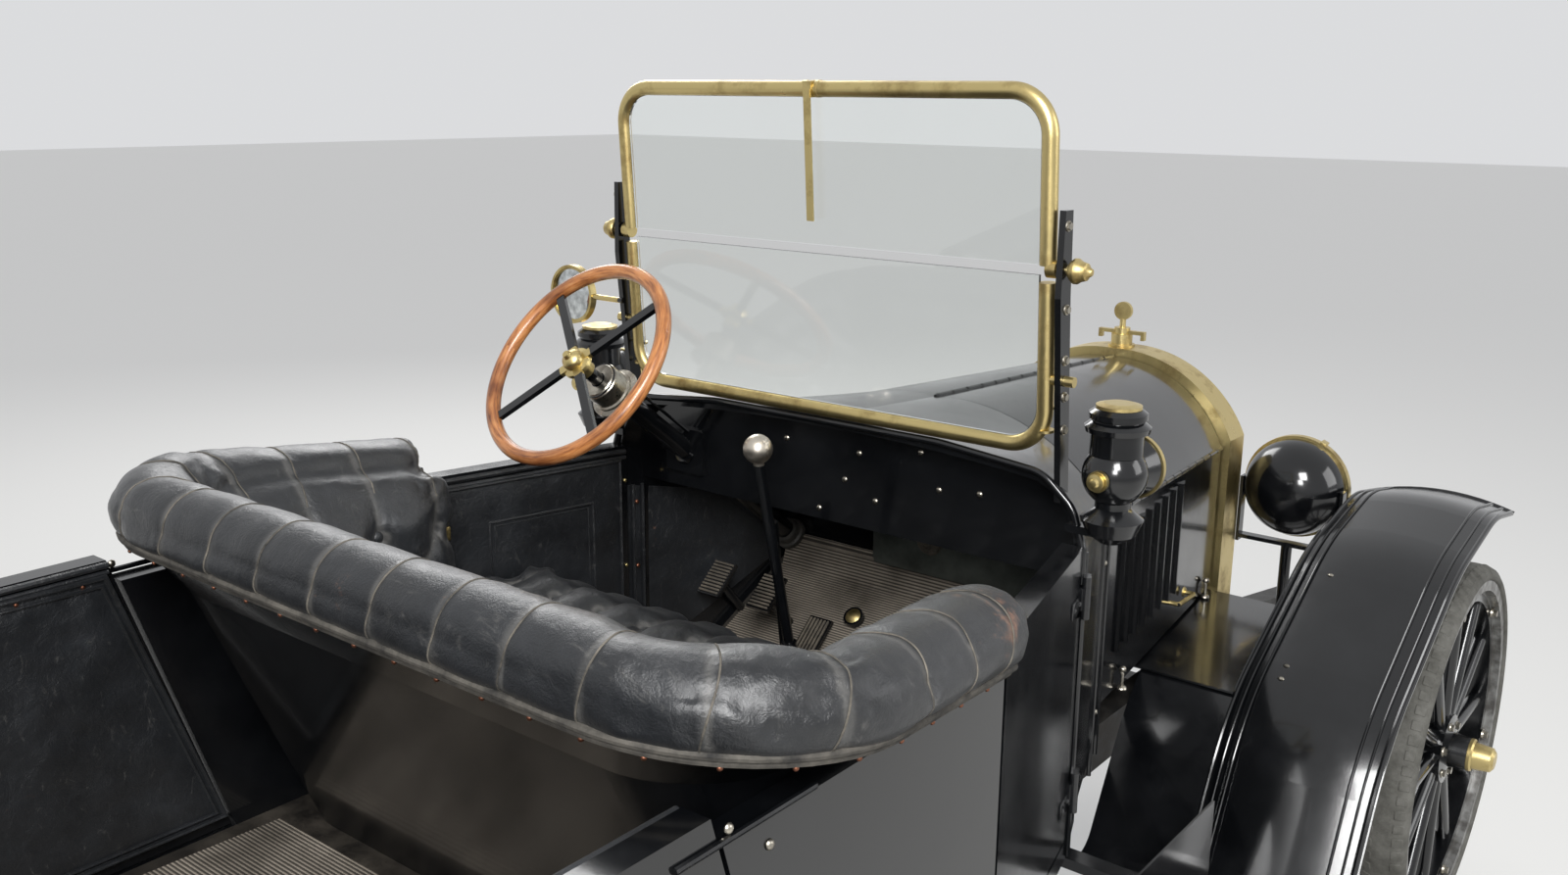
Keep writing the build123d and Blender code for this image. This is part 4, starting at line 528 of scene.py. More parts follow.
def add_dome(bm, centre, normal, radius, height):
    """Adds a round head."""
    matrix = facing(centre, normal) @ Matrix.Diagonal((radius, radius, height, 1.0))
    bmesh.ops.create_uvsphere(bm, u_segments=10, v_segments=6, radius=1.0, matrix=matrix)


def add_bolt(bm, centre, normal, radius, height):
    """Adds a hexagon head on its washer."""
    for sides, size, tall in ((6, radius, height), (12, radius * 1.35, height * 0.35)):
        matrix = facing(Vector(centre) + Vector(normal) * tall / 2, normal)
        bmesh.ops.create_cone(
            bm, cap_ends=True, segments=sides, radius1=size, radius2=size * 0.94, depth=tall, matrix=matrix
        )


def add_block(bm, centre, size, turn=None, bevel=0.0, segments=2):
    """Adds a box with its edges eased."""
    matrix = Matrix.Translation(Vector(centre)) @ (turn or Matrix.Identity(4)) @ Matrix.Diagonal((*size, 1.0))
    made = bmesh.ops.create_cube(bm, size=1.0, matrix=matrix)
    if bevel:
        edges = {edge for vert in made["verts"] for edge in vert.link_edges}
        bmesh.ops.bevel(
            bm, geom=list(edges), offset=bevel, affect="EDGES", segments=segments, profile=0.5, material=-1
        )


def add_turned(bm, profile, centre, axis, steps=32):
    """Adds a shape turned round an axis from (radius, along) points; both ends meet the axis or stay open."""
    matrix = facing(centre, axis)
    verts = [bm.verts.new(matrix @ Vector((radius, 0.0, along))) for radius, along in profile]
    edges = [bm.edges.new(pair) for pair in zip(verts, verts[1:])]
    bmesh.ops.spin(
        bm, geom=verts + edges, cent=Vector(centre), axis=Vector(axis).normalized(), angle=math.tau,
        steps=steps, use_merge=True,
    )
    bmesh.ops.remove_doubles(bm, verts=bm.verts, dist=0.00002)


def add_sheet(bm, corners, cells, swell=0.0, inward=None):
    """Adds a 3 mm panel between four corners, a little fuller in its middle towards inward."""
    made = bmesh.ops.create_grid(bm, x_segments=cells[0], y_segments=cells[1], size=0.5)
    low, side, far, up = [Vector(corner) for corner in corners]
    normal = (side - low).cross(up - low).normalized()
    turned = inward is not None and normal.dot(Vector(inward)) < 0
    normal = -normal if turned else normal
    for vert in made["verts"]:
        across_share, up_share = vert.co.x + 0.5, vert.co.y + 0.5
        spot = low.lerp(side, across_share).lerp(up.lerp(far, across_share), up_share)
        bulge = max(math.sin(math.pi * across_share) * math.sin(math.pi * up_share), 0.0) ** 0.5
        vert.co = spot + normal * swell * bulge * (1 + 0.6 * noise.noise(spot * 9.0))
    faces = list({face for vert in made["verts"] for face in vert.link_faces})
    if turned:
        bmesh.ops.reverse_faces(bm, faces=faces)
    bmesh.ops.solidify(bm, geom=faces, thickness=0.003)


def add_cut_sheet(bm, outline, inward, cells, swell):
    """Adds a thin leather panel of convex outline: a grid cut to it, fuller in its middle, softly wrinkled."""
    inward = Vector(inward).normalized()
    middle = sum(outline, Vector()) / len(outline)
    reach = max((point - middle).length for point in outline)
    bmesh.ops.create_grid(bm, x_segments=cells, y_segments=cells, size=reach, matrix=facing(middle, inward))
    sides = []
    for here, there in zip(outline, outline[1:] + outline[:1]):
        out = (there - here).cross(inward).normalized()
        sides.append((here, out if out.dot(middle - here) < 0 else -out))
        bmesh.ops.bisect_plane(
            bm, geom=bm.verts[:] + bm.edges[:] + bm.faces[:], dist=0.00001, plane_co=here, plane_no=sides[-1][1],
            clear_outer=True,
        )
    for vert in bm.verts:
        deep = min((here - vert.co).dot(out) for here, out in sides)
        full = math.sin(min(1.0, deep / 0.045) * math.pi / 2)
        folds = noise.noise(vert.co * 17.0) + 0.6 * noise.noise(vert.co * 38.0)
        vert.co += inward * (swell * full + 0.0038 * full * folds)
    bmesh.ops.solidify(bm, geom=bm.faces[:], thickness=0.003)


def rounded_path(corners, radii, steps=10):
    """Points of straights joined by arcs at the inner corners."""
    points = [Vector(corners[0])]
    for before, corner, after, radius in zip(corners, corners[1:], corners[2:], radii):
        corner = Vector(corner)
        into = (Vector(before) - corner).normalized()
        away = (Vector(after) - corner).normalized()
        half = into.angle(away) / 2
        centre = corner + (into + away).normalized() * radius / math.sin(half)
        start = corner + into * radius / math.tan(half) - centre
        end = corner + away * radius / math.tan(half) - centre
        for step in range(steps + 1):
            points.append(centre + start.lerp(end, step / steps).normalized() * radius)
    points.append(Vector(corners[-1]))
    return points


def even_points(points, pitch, start=0.0):
    """Points at even distances along a line of points."""
    spots = []
    walked, due = 0.0, start
    for here, there in zip(points, points[1:]):
        run = (there - here).length
        while due <= walked + run and run > 0:
            spots.append(here.lerp(there, (due - walked) / run))
            due += pitch
        walked += run
    return spots


def read(piece, name):
    """Vertex places, "co", or normals, "normal", of a piece as an array."""
    values = np.empty(len(piece.data.vertices) * 3)
    piece.data.vertices.foreach_get(name, values)
    return values.reshape(-1, 3)


def set_places(piece, places):
    """Moves a piece's vertices."""
    piece.data.vertices.foreach_set("co", places.ravel())
    piece.data.update()


def apply_modifiers(piece):
    """Replaces a piece's mesh by what its modifiers make of it."""
    graph = bpy.context.evaluated_depsgraph_get()
    mesh = bpy.data.meshes.new_from_object(piece.evaluated_get(graph))
    piece.modifiers.clear()
    piece.data = mesh


def search_tree(mesh):
    """Tree of a mesh's faces, to cast rays at."""
    faces = [face.vertices[:] for face in mesh.polygons]
    return BVHTree.FromPolygons([vert.co for vert in mesh.vertices], faces)


# Seats
# front end behind the screen and its height, rear end and its height, half widths, corner radius
ROLLS = {
    "front_seat": (415.0, 1.143, 922.0, 1.205, 0.575, 0.640, 0.185),
    "rear_seat": (1300.0, 1.150, 2046.5, 1.175, 0.566, 0.545, 0.200),
}
# rows of buttons, behind the screen
CUSHION_ROWS = {
    "front_seat_cushion": (0.315, 0.430, 0.545, 0.660),
    "rear_seat_cushion": (1.500, 1.615, 1.730, 1.845, 1.960),
}
# rows of buttons down a back, below the middle of its roll
BACK_ROWS = (0.085, 0.165, 0.245)
# rubbed places of the front roll: distance along it, size, strength
WEAR = (
    (1.090, 0.050, 0.075), (1.250, 0.030, 0.05), (2.045, 0.075, 0.17), (1.960, 0.050, 0.06), (0.900, 0.040, 0.04),
)
# place given to a point that carries no button
NOWHERE = 99.0


def roll_line(seat, outward=0.0, drop=0.0):
    """Points along the middle of a seat's roll, or of a line beside and below it."""
    front, front_z, rear, rear_z, front_half, rear_half, corner = ROLLS[seat]
    length = math.hypot((rear - front) / 1000, rear_z - front_z)
    rise = math.asin((rear_z - front_z) / length)
    corners = (
        (front_half + outward, 0.0),
        (rear_half + outward, length + outward),
        (-rear_half - outward, length + outward),
        (-front_half - outward, 0.0),
    )
    flat = rounded_path(corners, (corner + outward, corner + outward), 16)
    return [
        Vector((x, ws(front) + y * math.cos(rise) + drop * math.sin(rise), front_z + y * math.sin(rise) - drop))
        for x, y in flat
    ]


def soft_copy(node, voxel):
    """Copy of a soft CAD solid, merged and remeshed evenly."""
    bm = bmesh.new()
    bm.from_mesh(NODES[node].data)
    bmesh.ops.remove_doubles(bm, verts=bm.verts, dist=0.0001)
    piece = new_object(f"{node}_leather", bm)
    remesh = piece.modifiers.new("Remesh", "REMESH")
    remesh.mode = "VOXEL"
    remesh.voxel_size = voxel
    apply_modifiers(piece)
    return piece


def inflate(piece, held, cap):
    """Swells a padded piece with the cloth solver; held vertices stay, and no vertex moves further than cap."""
    scene = bpy.context.scene
    start = read(piece, "co")
    group = piece.vertex_groups.new(name="held")
    group.add([int(index) for index in np.flatnonzero(held)], 1.0, "REPLACE")
    cloth = piece.modifiers.new("Cloth", "CLOTH")
    cloth.settings.use_pressure = True
    cloth.settings.uniform_pressure_force = 4.0
    cloth.settings.effector_weights.gravity = 0.0
    cloth.settings.vertex_group_mass = "held"
    cloth.settings.quality = 4
    for number in range(1, 21):
        scene.frame_set(number)
    moved = read(piece.evaluated_get(bpy.context.evaluated_depsgraph_get()), "co") - start
    piece.modifiers.remove(cloth)
    piece.vertex_groups.remove(group)
    scene.frame_set(1)
    length = np.maximum(np.linalg.norm(moved, axis=1), 1e-9)
    set_places(piece, start + moved * np.minimum(1.0, cap / length)[:, None])


def subdivide(piece):
    """One level of smooth subdivision, applied."""
    smooth = piece.modifiers.new("Subdivision", "SUBSURF")
    smooth.levels = smooth.render_levels = 1
    apply_modifiers(piece)
    for polygon in piece.data.polygons:
        polygon.use_smooth = True


def distance_to(spots, lines):
    """Distance of each (u, v) spot to the nearest of the straight lines."""
    best = np.full(len(spots), 1e3)
    for start, end in lines:
        start, end = np.asarray(start), np.asarray(end)
        run = end - start
        share = np.clip(((spots - start) @ run) / max(run @ run, 1e-12), 0.0, 1.0)
        best = np.minimum(best, np.linalg.norm(spots - start - share[:, None] * run, axis=1))
    return best


def wrinkle(places, size, seed):
    """Smooth noise at each place, from -1 to 1."""
    shift = Vector((seed, 2.3 * seed, 0.7))
    return np.array([noise.noise(Vector(place) / size + shift) for place in places])


def store(piece, name, values):
    """Keeps one number a vertex for the material."""
    layer = piece.data.attributes.new(name, "FLOAT", "POINT")
    layer.data.foreach_set("value", values.astype(np.float32))


def ridge(distance, width):
    """1 on a line, falling away smoothly over its width."""
    return np.exp(-((distance / width) ** 2))


def tuft(piece, spots, lines, buttons, normal_share, seed, depth_share):
    """Draws pleats and buttons into a padded piece and swells the leather between them."""
    depth = bpy.context.scene.car_seats.pleat_depth * depth_share
    places, normals = read(piece, "co"), read(piece, "normal")
    to_pleat = distance_to(spots, lines)
    to_button = distance_to(spots, [(button, button) for button in buttons])
    drawn_in = depth * (0.45 * ridge(to_pleat, 0.0065) + 0.6 * ridge(to_pleat, 0.020))
    out = wrinkle(places, 0.045, seed) * 0.0016 - drawn_in - 0.013 * ridge(to_button, 0.025) + 0.0025
    set_places(piece, places + normals * (out * normal_share)[:, None])
    # pale lines on the pleats and a pale ring round each button, kept for the leather's colour: partly rubbed wear,
    # partly a painted highlight
    ring = ridge(to_button - 0.0130, 0.0035)
    store(piece, "seam", np.maximum(ridge(to_pleat, 0.0042), 1.3 * ring) * normal_share)


def diamond_pattern(columns, rows, pitch, front_end):
    """Pleats and buttons of staggered rows: (lines, buttons) in across and along places."""
    lines, buttons = [], []
    for number, row in enumerate(rows):
        shift = pitch / 2 if number % 2 else 0.0
        for column in columns:
            here = (column + shift, row)
            buttons.append(here)
            if number == 0:
                lines.append((here, (column, front_end)))
            if number + 1 < len(rows):
                lines += [(here, (here[0] + side * pitch / 2, rows[number + 1])) for side in (1, -1)]
    return lines, buttons


def along_roll(places, line):
    """Place of each point along a line of points, seen from above, and the nearest point of the line."""
    knots = np.array([point[:] for point in even_points(line, 0.004)])
    steps = np.linalg.norm(np.diff(knots, axis=0), axis=1)
    walked = np.concatenate([[0.0], np.cumsum(steps)])
    nearest = np.empty(len(places), int)
    for start in range(0, len(places), 4000):
        block = places[start : start + 4000, None, :2] - knots[None, :, :2]
        nearest[start : start + 4000] = np.argmin((block**2).sum(axis=2), axis=1)
    return walked[nearest], knots[nearest]


def finish_padding(piece, node, spots, buttons):
    """Gives a padded piece its leather and its place on the car, and seats its buttons in their dimples."""
    piece.data.materials.append(MATERIALS["leather"])
    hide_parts(node)
    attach(piece, "car_body")
    bm = bmesh.new()
    places, normals = read(piece, "co"), read(piece, "normal")
    for button in buttons:
        away = np.linalg.norm(spots - np.asarray(button), axis=1)
        nearest = int(np.argmin(away))
        if away[nearest] < 0.012:
            add_dome(bm, places[nearest] + normals[nearest] * 0.0015, normals[nearest], 0.0105, 0.006)
    finish_piece(f"{node}_buttons", bm, "leather")


class CAR_OT_seat_cushions(bpy.types.Operator):
    """Swelled and buttoned seat cushions."""

    bl_idname = "car.seat_cushions"
    bl_label = "Seat cushions"

    def execute(self, context):
        pitch = context.scene.car_seats.button_pitch
        for seed, (node, rows) in enumerate(CUSHION_ROWS.items()):
            piece = soft_copy(node, 0.009)
            inflate(piece, read(piece, "normal")[:, 2] < -0.3, 0.024)
            subdivide(piece)
            low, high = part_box(node)
            columns = [pitch * k for k in range(-6, 7)]
            lines, buttons = diamond_pattern(columns, [SCREEN_Y + y for y in rows], pitch, low.y - 0.1)
            spots = read(piece, "co")[:, :2].copy()
            upward = np.clip((read(piece, "normal")[:, 2] + 0.25) / 0.5, 0.0, 1.0)
            tuft(piece, spots, lines, buttons, upward, 1.0 + seed, 1.5)
            shown = [b for b in buttons if low.x + 0.03 < b[0] < high.x - 0.03 and b[1] < high.y - 0.03]
            top = read(piece, "normal")[:, 2] > 0.5
            finish_padding(piece, node, np.where(top[:, None], spots, NOWHERE), shown)
        return {"FINISHED"}


class CAR_OT_seat_backs(bpy.types.Operator):
    """Rolled and buttoned seat backs that sweep round into the arms."""

    bl_idname = "car.seat_backs"
    bl_label = "Seat backs"

    def execute(self, context):
        settings = context.scene.car_seats
        pitch = settings.seam_pitch
        for seed, seat in enumerate(ROLLS):
            node = f"{seat}_back"
            piece = soft_copy(node, 0.0105)
            line = roll_line(seat)
            centre = np.array((0.0, line[0].y))
            start, normals = read(piece, "co"), read(piece, "normal")
            below = start[:, 2] < along_roll(start, line)[1][:, 2] - 0.03
            facing_in = (normals[:, 0] * np.sign(-start[:, 0]) + 0.8 * -normals[:, 1]) > 0.1
            inflate(piece, below & ~facing_in | (normals[:, 2] < -0.85), 0.012)
            subdivide(piece)
            places = read(piece, "co")
            walked, near = along_roll(places, line)
            heights = near[:, 2] - places[:, 2]
            span = walked.max()
            seams = [settings.seam_start + pitch * k for k in range(-1, int(span / pitch) + 2)]
            lines, buttons = diamond_pattern(seams, BACK_ROWS, pitch, -0.2)
            inside = np.linalg.norm(places[:, :2] - centre, axis=1)
            middle = np.linalg.norm(near[:, :2] - centre, axis=1)
            outer = (inside > middle + 0.012) & (heights > 0.042)
            spots = np.stack([walked, np.where(inside > middle, -np.abs(heights), heights)], axis=1)
            deeper = 0.28 + 0.62 * np.clip((heights - 0.02) / 0.05, 0.0, 1.0) * (inside < middle)
            tuft(piece, spots, lines, buttons, np.where(outer, 0.0, 1.0), 3.0 + seed, deeper)
            wear = sum(
                strength * ridge(walked - at, size) * ridge(heights + 0.02, 0.045) for at, size, strength in WEAR
            )
            store(piece, "wear", wear if seat == "front_seat" else 0.0 * wear)
            shown = [b for b in buttons if 0.04 < b[0] < span - 0.04]
            finish_padding(piece, node, np.where((inside < middle)[:, None], spots, NOWHERE), shown)
        return {"FINISHED"}


class CAR_OT_roll_seams(bpy.types.Operator):
    """Raised cross seams of the rolls, their edges rubbed pale."""

    bl_idname = "car.roll_seams"
    bl_label = "Roll seams"

    def execute(self, context):
        settings = context.scene.car_seats
        for seat in ROLLS:
            seams = bmesh.new()
            tree = search_tree(bpy.data.objects[f"{seat}_back_leather"].data)
            line = roll_line(seat)
            fine = even_points(line, 0.004)
            for spot in even_points(line, settings.seam_pitch, settings.seam_start):
                nearest = min(range(len(fine)), key=lambda k: (fine[k] - spot).length)
                run = (fine[min(nearest + 2, len(fine) - 1)] - fine[max(nearest - 2, 0)]).normalized()
                out = run.cross(Vector((0, 0, 1))).normalized()
                out = -out if out.dot(spot - Vector((0, line[0].y, spot.z))) < 0 else out
                up = out.cross(run).normalized()
                up = up if up.z > 0 else -up
                path = []
                for step in range(-26, 25):
                    angle = math.radians(90 - step * 6.5)
                    way = out * math.cos(angle) + up * math.sin(angle)
                    start = spot + run * 0.007 * math.sin(angle * 1.5) + way * 0.12
                    hit = tree.ray_cast(start, -way, 0.12)[0]
                    if hit is not None:
                        path.append(hit + way * 0.0003)
                if len(path) > 3:
                    add_bead(seams, path, 0.0012, resolution=1)
            finish_piece(f"{seat}_seams", seams, "seam")
        return {"FINISHED"}


class CAR_OT_seat_welts(bpy.types.Operator):
    """Double welt with its nails where the leather of a roll meets the shell."""

    bl_idname = "car.seat_welts"
    bl_label = "Seat welts"

    def execute(self, context):
        pitch = context.scene.car_fittings.nail_pitch
        for seat in ROLLS:
            welt, nails = bmesh.new(), bmesh.new()
            add_bead(welt, roll_line(seat, 0.036, 0.044), 0.0052)
            add_bead(welt, roll_line(seat, 0.029, 0.053), 0.0046)
            for spot in even_points(roll_line(seat, 0.030, 0.058), pitch, 0.02):
                way = Vector((spot.x, spot.y - ws(500), -0.2)).normalized()
                add_dome(nails, spot, way, 0.0034, 0.0026)
            finish_piece(f"{seat}_welt", welt, "welt")
            finish_piece(f"{seat}_nails", nails, "copper")
        return {"FINISHED"}


# Cabin
FRONT_DOOR_X = (0.4572, 0.554)
BONNET_KNUCKLES = 14
RIB_PITCH = 0.0075
FIN_PITCH = 0.0075
TUBE_PITCH = 0.0155


def door_quad(way, low_z, high_z, ends, inset):
    """Corners of a panel on a front door's inner face: ends are shares from its front to its rear."""
    front_x, rear_x = FRONT_DOOR_X
    return [
        Vector((way * (front_x + (rear_x - front_x) * share - inset), ws(5 + 395 * share), z))
        for share, z in ((ends[0], low_z), (ends[1], low_z), (ends[1], high_z), (ends[0], high_z))
    ]


class CAR_OT_door_trim(bpy.types.Operator):
    """Leathercloth on the doors' inner faces, with its beads, pocket, latch and top rail."""

    bl_idname = "car.door_trim"
    bl_label = "Door trim"

    def execute(self, context):
        for name, way in SIDES:
            inward = (-way, 0, 0)
            panel, beads, metal = bmesh.new(), bmesh.new(), bmesh.new()
            add_cut_sheet(panel, door_quad(way, 0.662, 1.098, (0.04, 0.95), 0.0035), (-way, 0.24, 0), 40, 0.004)
            # the panel's edge, the pocket and the line inside it
            for low, high, ends, inset, radius in (
                (0.668, 1.092, (0.05, 0.94), 0.0065, 0.0042),
                (0.800, 1.020, (0.20, 0.72), 0.0075, 0.0034),
                (0.808, 1.012, (0.225, 0.695), 0.0072, 0.0016),
            ):
                add_bead(beads, door_quad(way, low, high, ends, inset), radius, closed=True, resolution=1)
            rail = door_quad(way, 1.108, 1.116, (0.01, 0.99), 0.0015)[:2]
            add_bead(beads, rail, 0.0050, resolution=1)
            add_bead(beads, [point - UP * 0.012 for point in rail], 0.0036, resolution=1)
            latch = sum(door_quad(way, 1.000, 1.032, (0.90, 0.985), 0.008), Vector()) / 4
            lean = Matrix.Rotation(way * math.atan2(-0.0968, 0.395), 4, "Z")
            add_block(metal, latch, (0.007, 0.030, 0.026), lean, 0.002)
            add_block(metal, latch + Vector((0, 0.014, 0)), (0.010, 0.012, 0.012), lean, 0.002)
            for z in (0.70, 0.88, 1.05):
                for share in (0.012, 0.985):
                    add_dome(metal, door_quad(way, z, z, (share, share), 0.0005)[0], inward, 0.0042, 0.003)
            pieces = [("front", "panel", panel, "leather"), ("front", "beads", beads, "leather")]
            pieces.append(("front", "latch", metal, "brass"))
            panel, beads, nails = bmesh.new(), bmesh.new(), bmesh.new()
            x = 0.552 - 0.0035
            outline = [
                Vector((way * x, ws(y), z))
                for y, z in ((815, 0.662), (1108, 0.662), (1272, 0.778), (1272, 1.098), (958, 1.098))
            ]
            add_cut_sheet(panel, outline, inward, 56, 0.005)
            middle = sum(outline, Vector()) / 5
            for share, radius in ((0.995, 0.0046), (0.945, 0.0034)):
                ring = [middle.lerp(point, share) - Vector((way * 0.004, 0, 0)) for point in outline]
                add_bead(beads, ring, radius, closed=True)
            for z, radius in ((1.1125, 0.0052), (1.102, 0.0036)):
                add_bead(beads, [(way * x, ws(952), z), (way * x, ws(1280), z)], radius)
            for y in (990, 1080, 1170, 1250):
                add_dome(nails, (way * (x - 0.002), ws(y), 1.090), inward, 0.0036, 0.0026)
            pieces += [("rear", "panel", panel, "leather"), ("rear", "beads", beads, "leather")]
            pieces.append(("rear", "nails", nails, "copper"))
            for end, kind, bm, material in pieces:
                finish_piece(f"door_{end}_{name}_{kind}", bm, material, f"{end}_door_{name}")
        return {"FINISHED"}


class CAR_OT_cabin_trim(bpy.types.Operator):
    """Leathercloth along the scuttle's sides, with beads and nails."""

    bl_idname = "car.cabin_trim"
    bl_label = "Cabin trim"

    def execute(self, context):
        low, high = UP * 0.652, UP * 1.035
        for name, way in SIDES:
            panel, beads, nails = bmesh.new(), bmesh.new(), bmesh.new()
            front = Vector((way * 0.3555, -0.560, 0.0))
            rear = Vector((way * 0.4705, -0.2360, 0.0))
            corners = (front + low + UP * 0.19, rear + low, rear + high, front + high - UP * 0.06)
            add_sheet(panel, corners, (12, 14), 0.0015, (-way, 0.3, 0))
            inward = Vector((-way * 0.004, 0, 0))
            for shift in (0.012, 0.032):
                spot = rear + (front - rear) * shift / 0.34 + inward
                add_bead(beads, [spot + low, spot + high], 0.0042, resolution=1)
            for z in (0.74, 0.87, 1.00):
                add_dome(nails, rear + (front - rear) * 0.062 + inward + UP * z, inward, 0.0045, 0.003)
            for kind, bm, material in (
                ("trim", panel, "leather"), ("beads", beads, "leather"), ("nails", nails, "copper"),
            ):
                finish_piece(f"scuttle_side_{name}_{kind}", bm, material)
        return {"FINISHED"}


class CAR_OT_floor_mats(bpy.types.Operator):
    """Ribbed rubber mats over the toe board and the floors."""

    bl_idname = "car.floor_mats"
    bl_label = "Floor mats"

    def execute(self, context):
        mats = bmesh.new()
        # half width, place along the car and height of each bend of the front mat, and of the rear mat's ends
        front = (
            (0.332, -0.5685, 0.8860), (0.336, -0.5545, 0.8227), (0.405, -0.352, 0.6457), (0.430, -0.335, 0.6377),
            (0.448, ws(183), 0.6377),
        )
        rear = ((0.512, ws(745), 0.6377), (0.540, ws(1385), 0.6377))
        for mat in (front, rear):
            for (half, y, z), (next_half, next_y, next_z) in zip(mat, mat[1:]):
                corners = (
                    (-half, y, z), (-next_half, next_y, next_z), (next_half, next_y, next_z), (half, y, z),
                )
                add_sheet(mats, corners, (8, 16))
        for radius, z in ((0.0052, 0.8885), (0.0030, 0.880)):
            add_bead(mats, [(-0.334, -0.5640, z), (0.334, -0.5640, z)], radius, resolution=3)
        finish_piece("ribbed_floor_mats", mats, "mat")
        return {"FINISHED"}


class CAR_OT_pedals(bpy.types.Operator):
    """Rubber ribs on the pedals and treadle, the foot button and the collar of the column."""

    bl_idname = "car.pedals"
    bl_label = "Pedals"

    def execute(self, context):
        ribs, button, flange = bmesh.new(), bmesh.new(), bmesh.new()
        turn = Matrix((Vector((1, 0, 0)), TOE_UP, -TOE_NORMAL)).transposed().to_4x4()
        # place across, up and off the toe board, width and length; ribs run across the two short pedals
        for x, up, off, width, length in (
            (0.372, 0.160, 0.112, 0.054, 0.078), (0.245, 0.160, 0.112, 0.054, 0.078),
            (0.167, 0.092, 0.018, 0.052, 0.176),
        ):
            middle = TOE_FOOT + Vector((x, 0, 0)) + TOE_UP * up + TOE_NORMAL * (off + 0.0055)
            crosswise = length < 0.1
            count = int((length if crosswise else width) / RIB_PITCH)
            for k in range(count):
                share = (k + 0.5) / count - 0.5
                if crosswise:
                    centre, size = middle + TOE_UP * share * (length - 0.004), (width - 0.006, 0.0042, 0.004)
                else:
                    centre, size = middle + Vector((share * (width - 0.004), 0, 0)), (0.0042, length - 0.008, 0.004)
                add_block(ribs, centre, size, turn, 0.001)
        finish_piece("pedal_ribs", ribs, "pedal")
        profile = (0.0195, 0.020), (0.026, 0.018), (0.028, 0.006), (0.033, 0.003), (0.033, -0.006)
        add_turned(flange, profile, WHEEL_CENTRE - COLUMN_AXIS * 0.692, COLUMN_AXIS)
        finish_piece("column_flange", flange, "casting")
        profile = (0.0, 0.005), (0.008, 0.004), (0.0135, 0.001), (0.0172, -0.001), (0.0172, -0.010)
        spot = TOE_FOOT + Vector((0.108, 0, 0)) + TOE_UP * 0.205 + TOE_NORMAL * 0.0165
        add_turned(button, profile, spot, TOE_NORMAL)
        finish_piece("foot_button_ring", button, "brass")
        return {"FINISHED"}


class CAR_OT_steering_fittings(bpy.types.Operator):
    """Hub nut, gear drum, quadrant rod and the strap that holds the column."""

    bl_idname = "car.steering_fittings"
    bl_label = "Steering fittings"

    def execute(self, context):
        nut, drum, strap = bmesh.new(), bmesh.new(), bmesh.new()
        profile = (
            (0.0, 0.030), (0.006, 0.029), (0.0085, 0.022), (0.016, 0.018), (0.0195, 0.012), (0.0195, 0.004),
            (0.028, 0.001), (0.029, -0.006),
        )
        add_turned(nut, profile, WHEEL_CENTRE, COLUMN_AXIS)
        finish_piece("steering_hub_nut", nut, "brass", "steering_wheel")
        profile = (
            (0.014, 0.002), (0.030, 0.002), (0.0355, -0.004), (0.0355, -0.034), (0.039, -0.036), (0.039, -0.041),
            (0.047, -0.044), (0.047, -0.0495), (0.021, -0.052), (0.021, -0.075),
        )
        add_turned(drum, profile, WHEEL_CENTRE - COLUMN_AXIS * 0.062, COLUMN_AXIS)
        finish_piece("steering_gear_drum", drum, "nickel")
        side = COLUMN_AXIS.cross(Vector((1, 0, 0))).normalized()
        start = WHEEL_CENTRE - COLUMN_AXIS * 0.11 - side * 0.027 + Vector((-0.010, 0, 0))
        end = start - COLUMN_AXIS * 0.235
        add_bead(strap, [start, end, end - COLUMN_AXIS * 0.012 - side * 0.012], 0.0032)
        profile = (0.0195, -0.012), (0.024, -0.012), (0.024, 0.012), (0.0195, 0.012)
        add_turned(strap, profile, WHEEL_CENTRE - COLUMN_AXIS * 0.335, COLUMN_AXIS)
        finish_piece("column_strap", strap, "enamel")
        return {"FINISHED"}


class CAR_OT_dash_fittings(bpy.types.Operator):
    """Beaded edge of the scuttle, screws in the dash and the cover over the engine's rear end."""

    bl_idname = "car.dash_fittings"
    bl_label = "Dash fittings"

    def execute(self, context):
        screws, edge, cover, grommet = bmesh.new(), bmesh.new(), bmesh.new(), bmesh.new()
        for x, z in (
            (0.105, 1.181), (-0.051, 1.179), (-0.086, 1.101), (-0.022, 1.128), (-0.211, 1.144), (-0.287, 1.151),
            (0.032, 1.067), (-0.174, 1.201),
        ):
            add_dome(screws, (x, -0.2722, z), (0, 1, 0), 0.0058, 0.0032)
        finish_piece("dash_screws", screws, "nickel")
        half = ((0.4905, 1.060), (0.4895, 1.112), (0.470, 1.172), (0.416, 1.219), (0.232, 1.236))
        corners = [(x, SCREEN_Y + 0.001, z) for x, z in [*half, *((-x, z) for x, z in reversed(half))]]
        radii = (0.03, 0.05, 0.06, 0.3)
        add_bead(edge, rounded_path(corners, radii + radii[::-1], 6), 0.0065, resolution=3)
        finish_piece("scuttle_edge", edge, "enamel")
        add_block(cover, (-0.105, -0.546, 0.938), (0.400, 0.050, 0.108), None, 0.016)
        add_block(cover, (-0.105, -0.567, 0.938), (0.440, 0.008, 0.132), None, 0.003)
        finish_piece("bulkhead_cover", cover, "cover")
        profile = (0.0, 0.0005), (0.014, 0.0008), (0.0155, 0.005), (0.0245, 0.005), (0.0285, -0.001)
        add_turned(grommet, profile, (-0.040, -0.5208, 0.958), (0, 1, 0))
        finish_piece("bulkhead_grommet", grommet, "pedal")
        return {"FINISHED"}


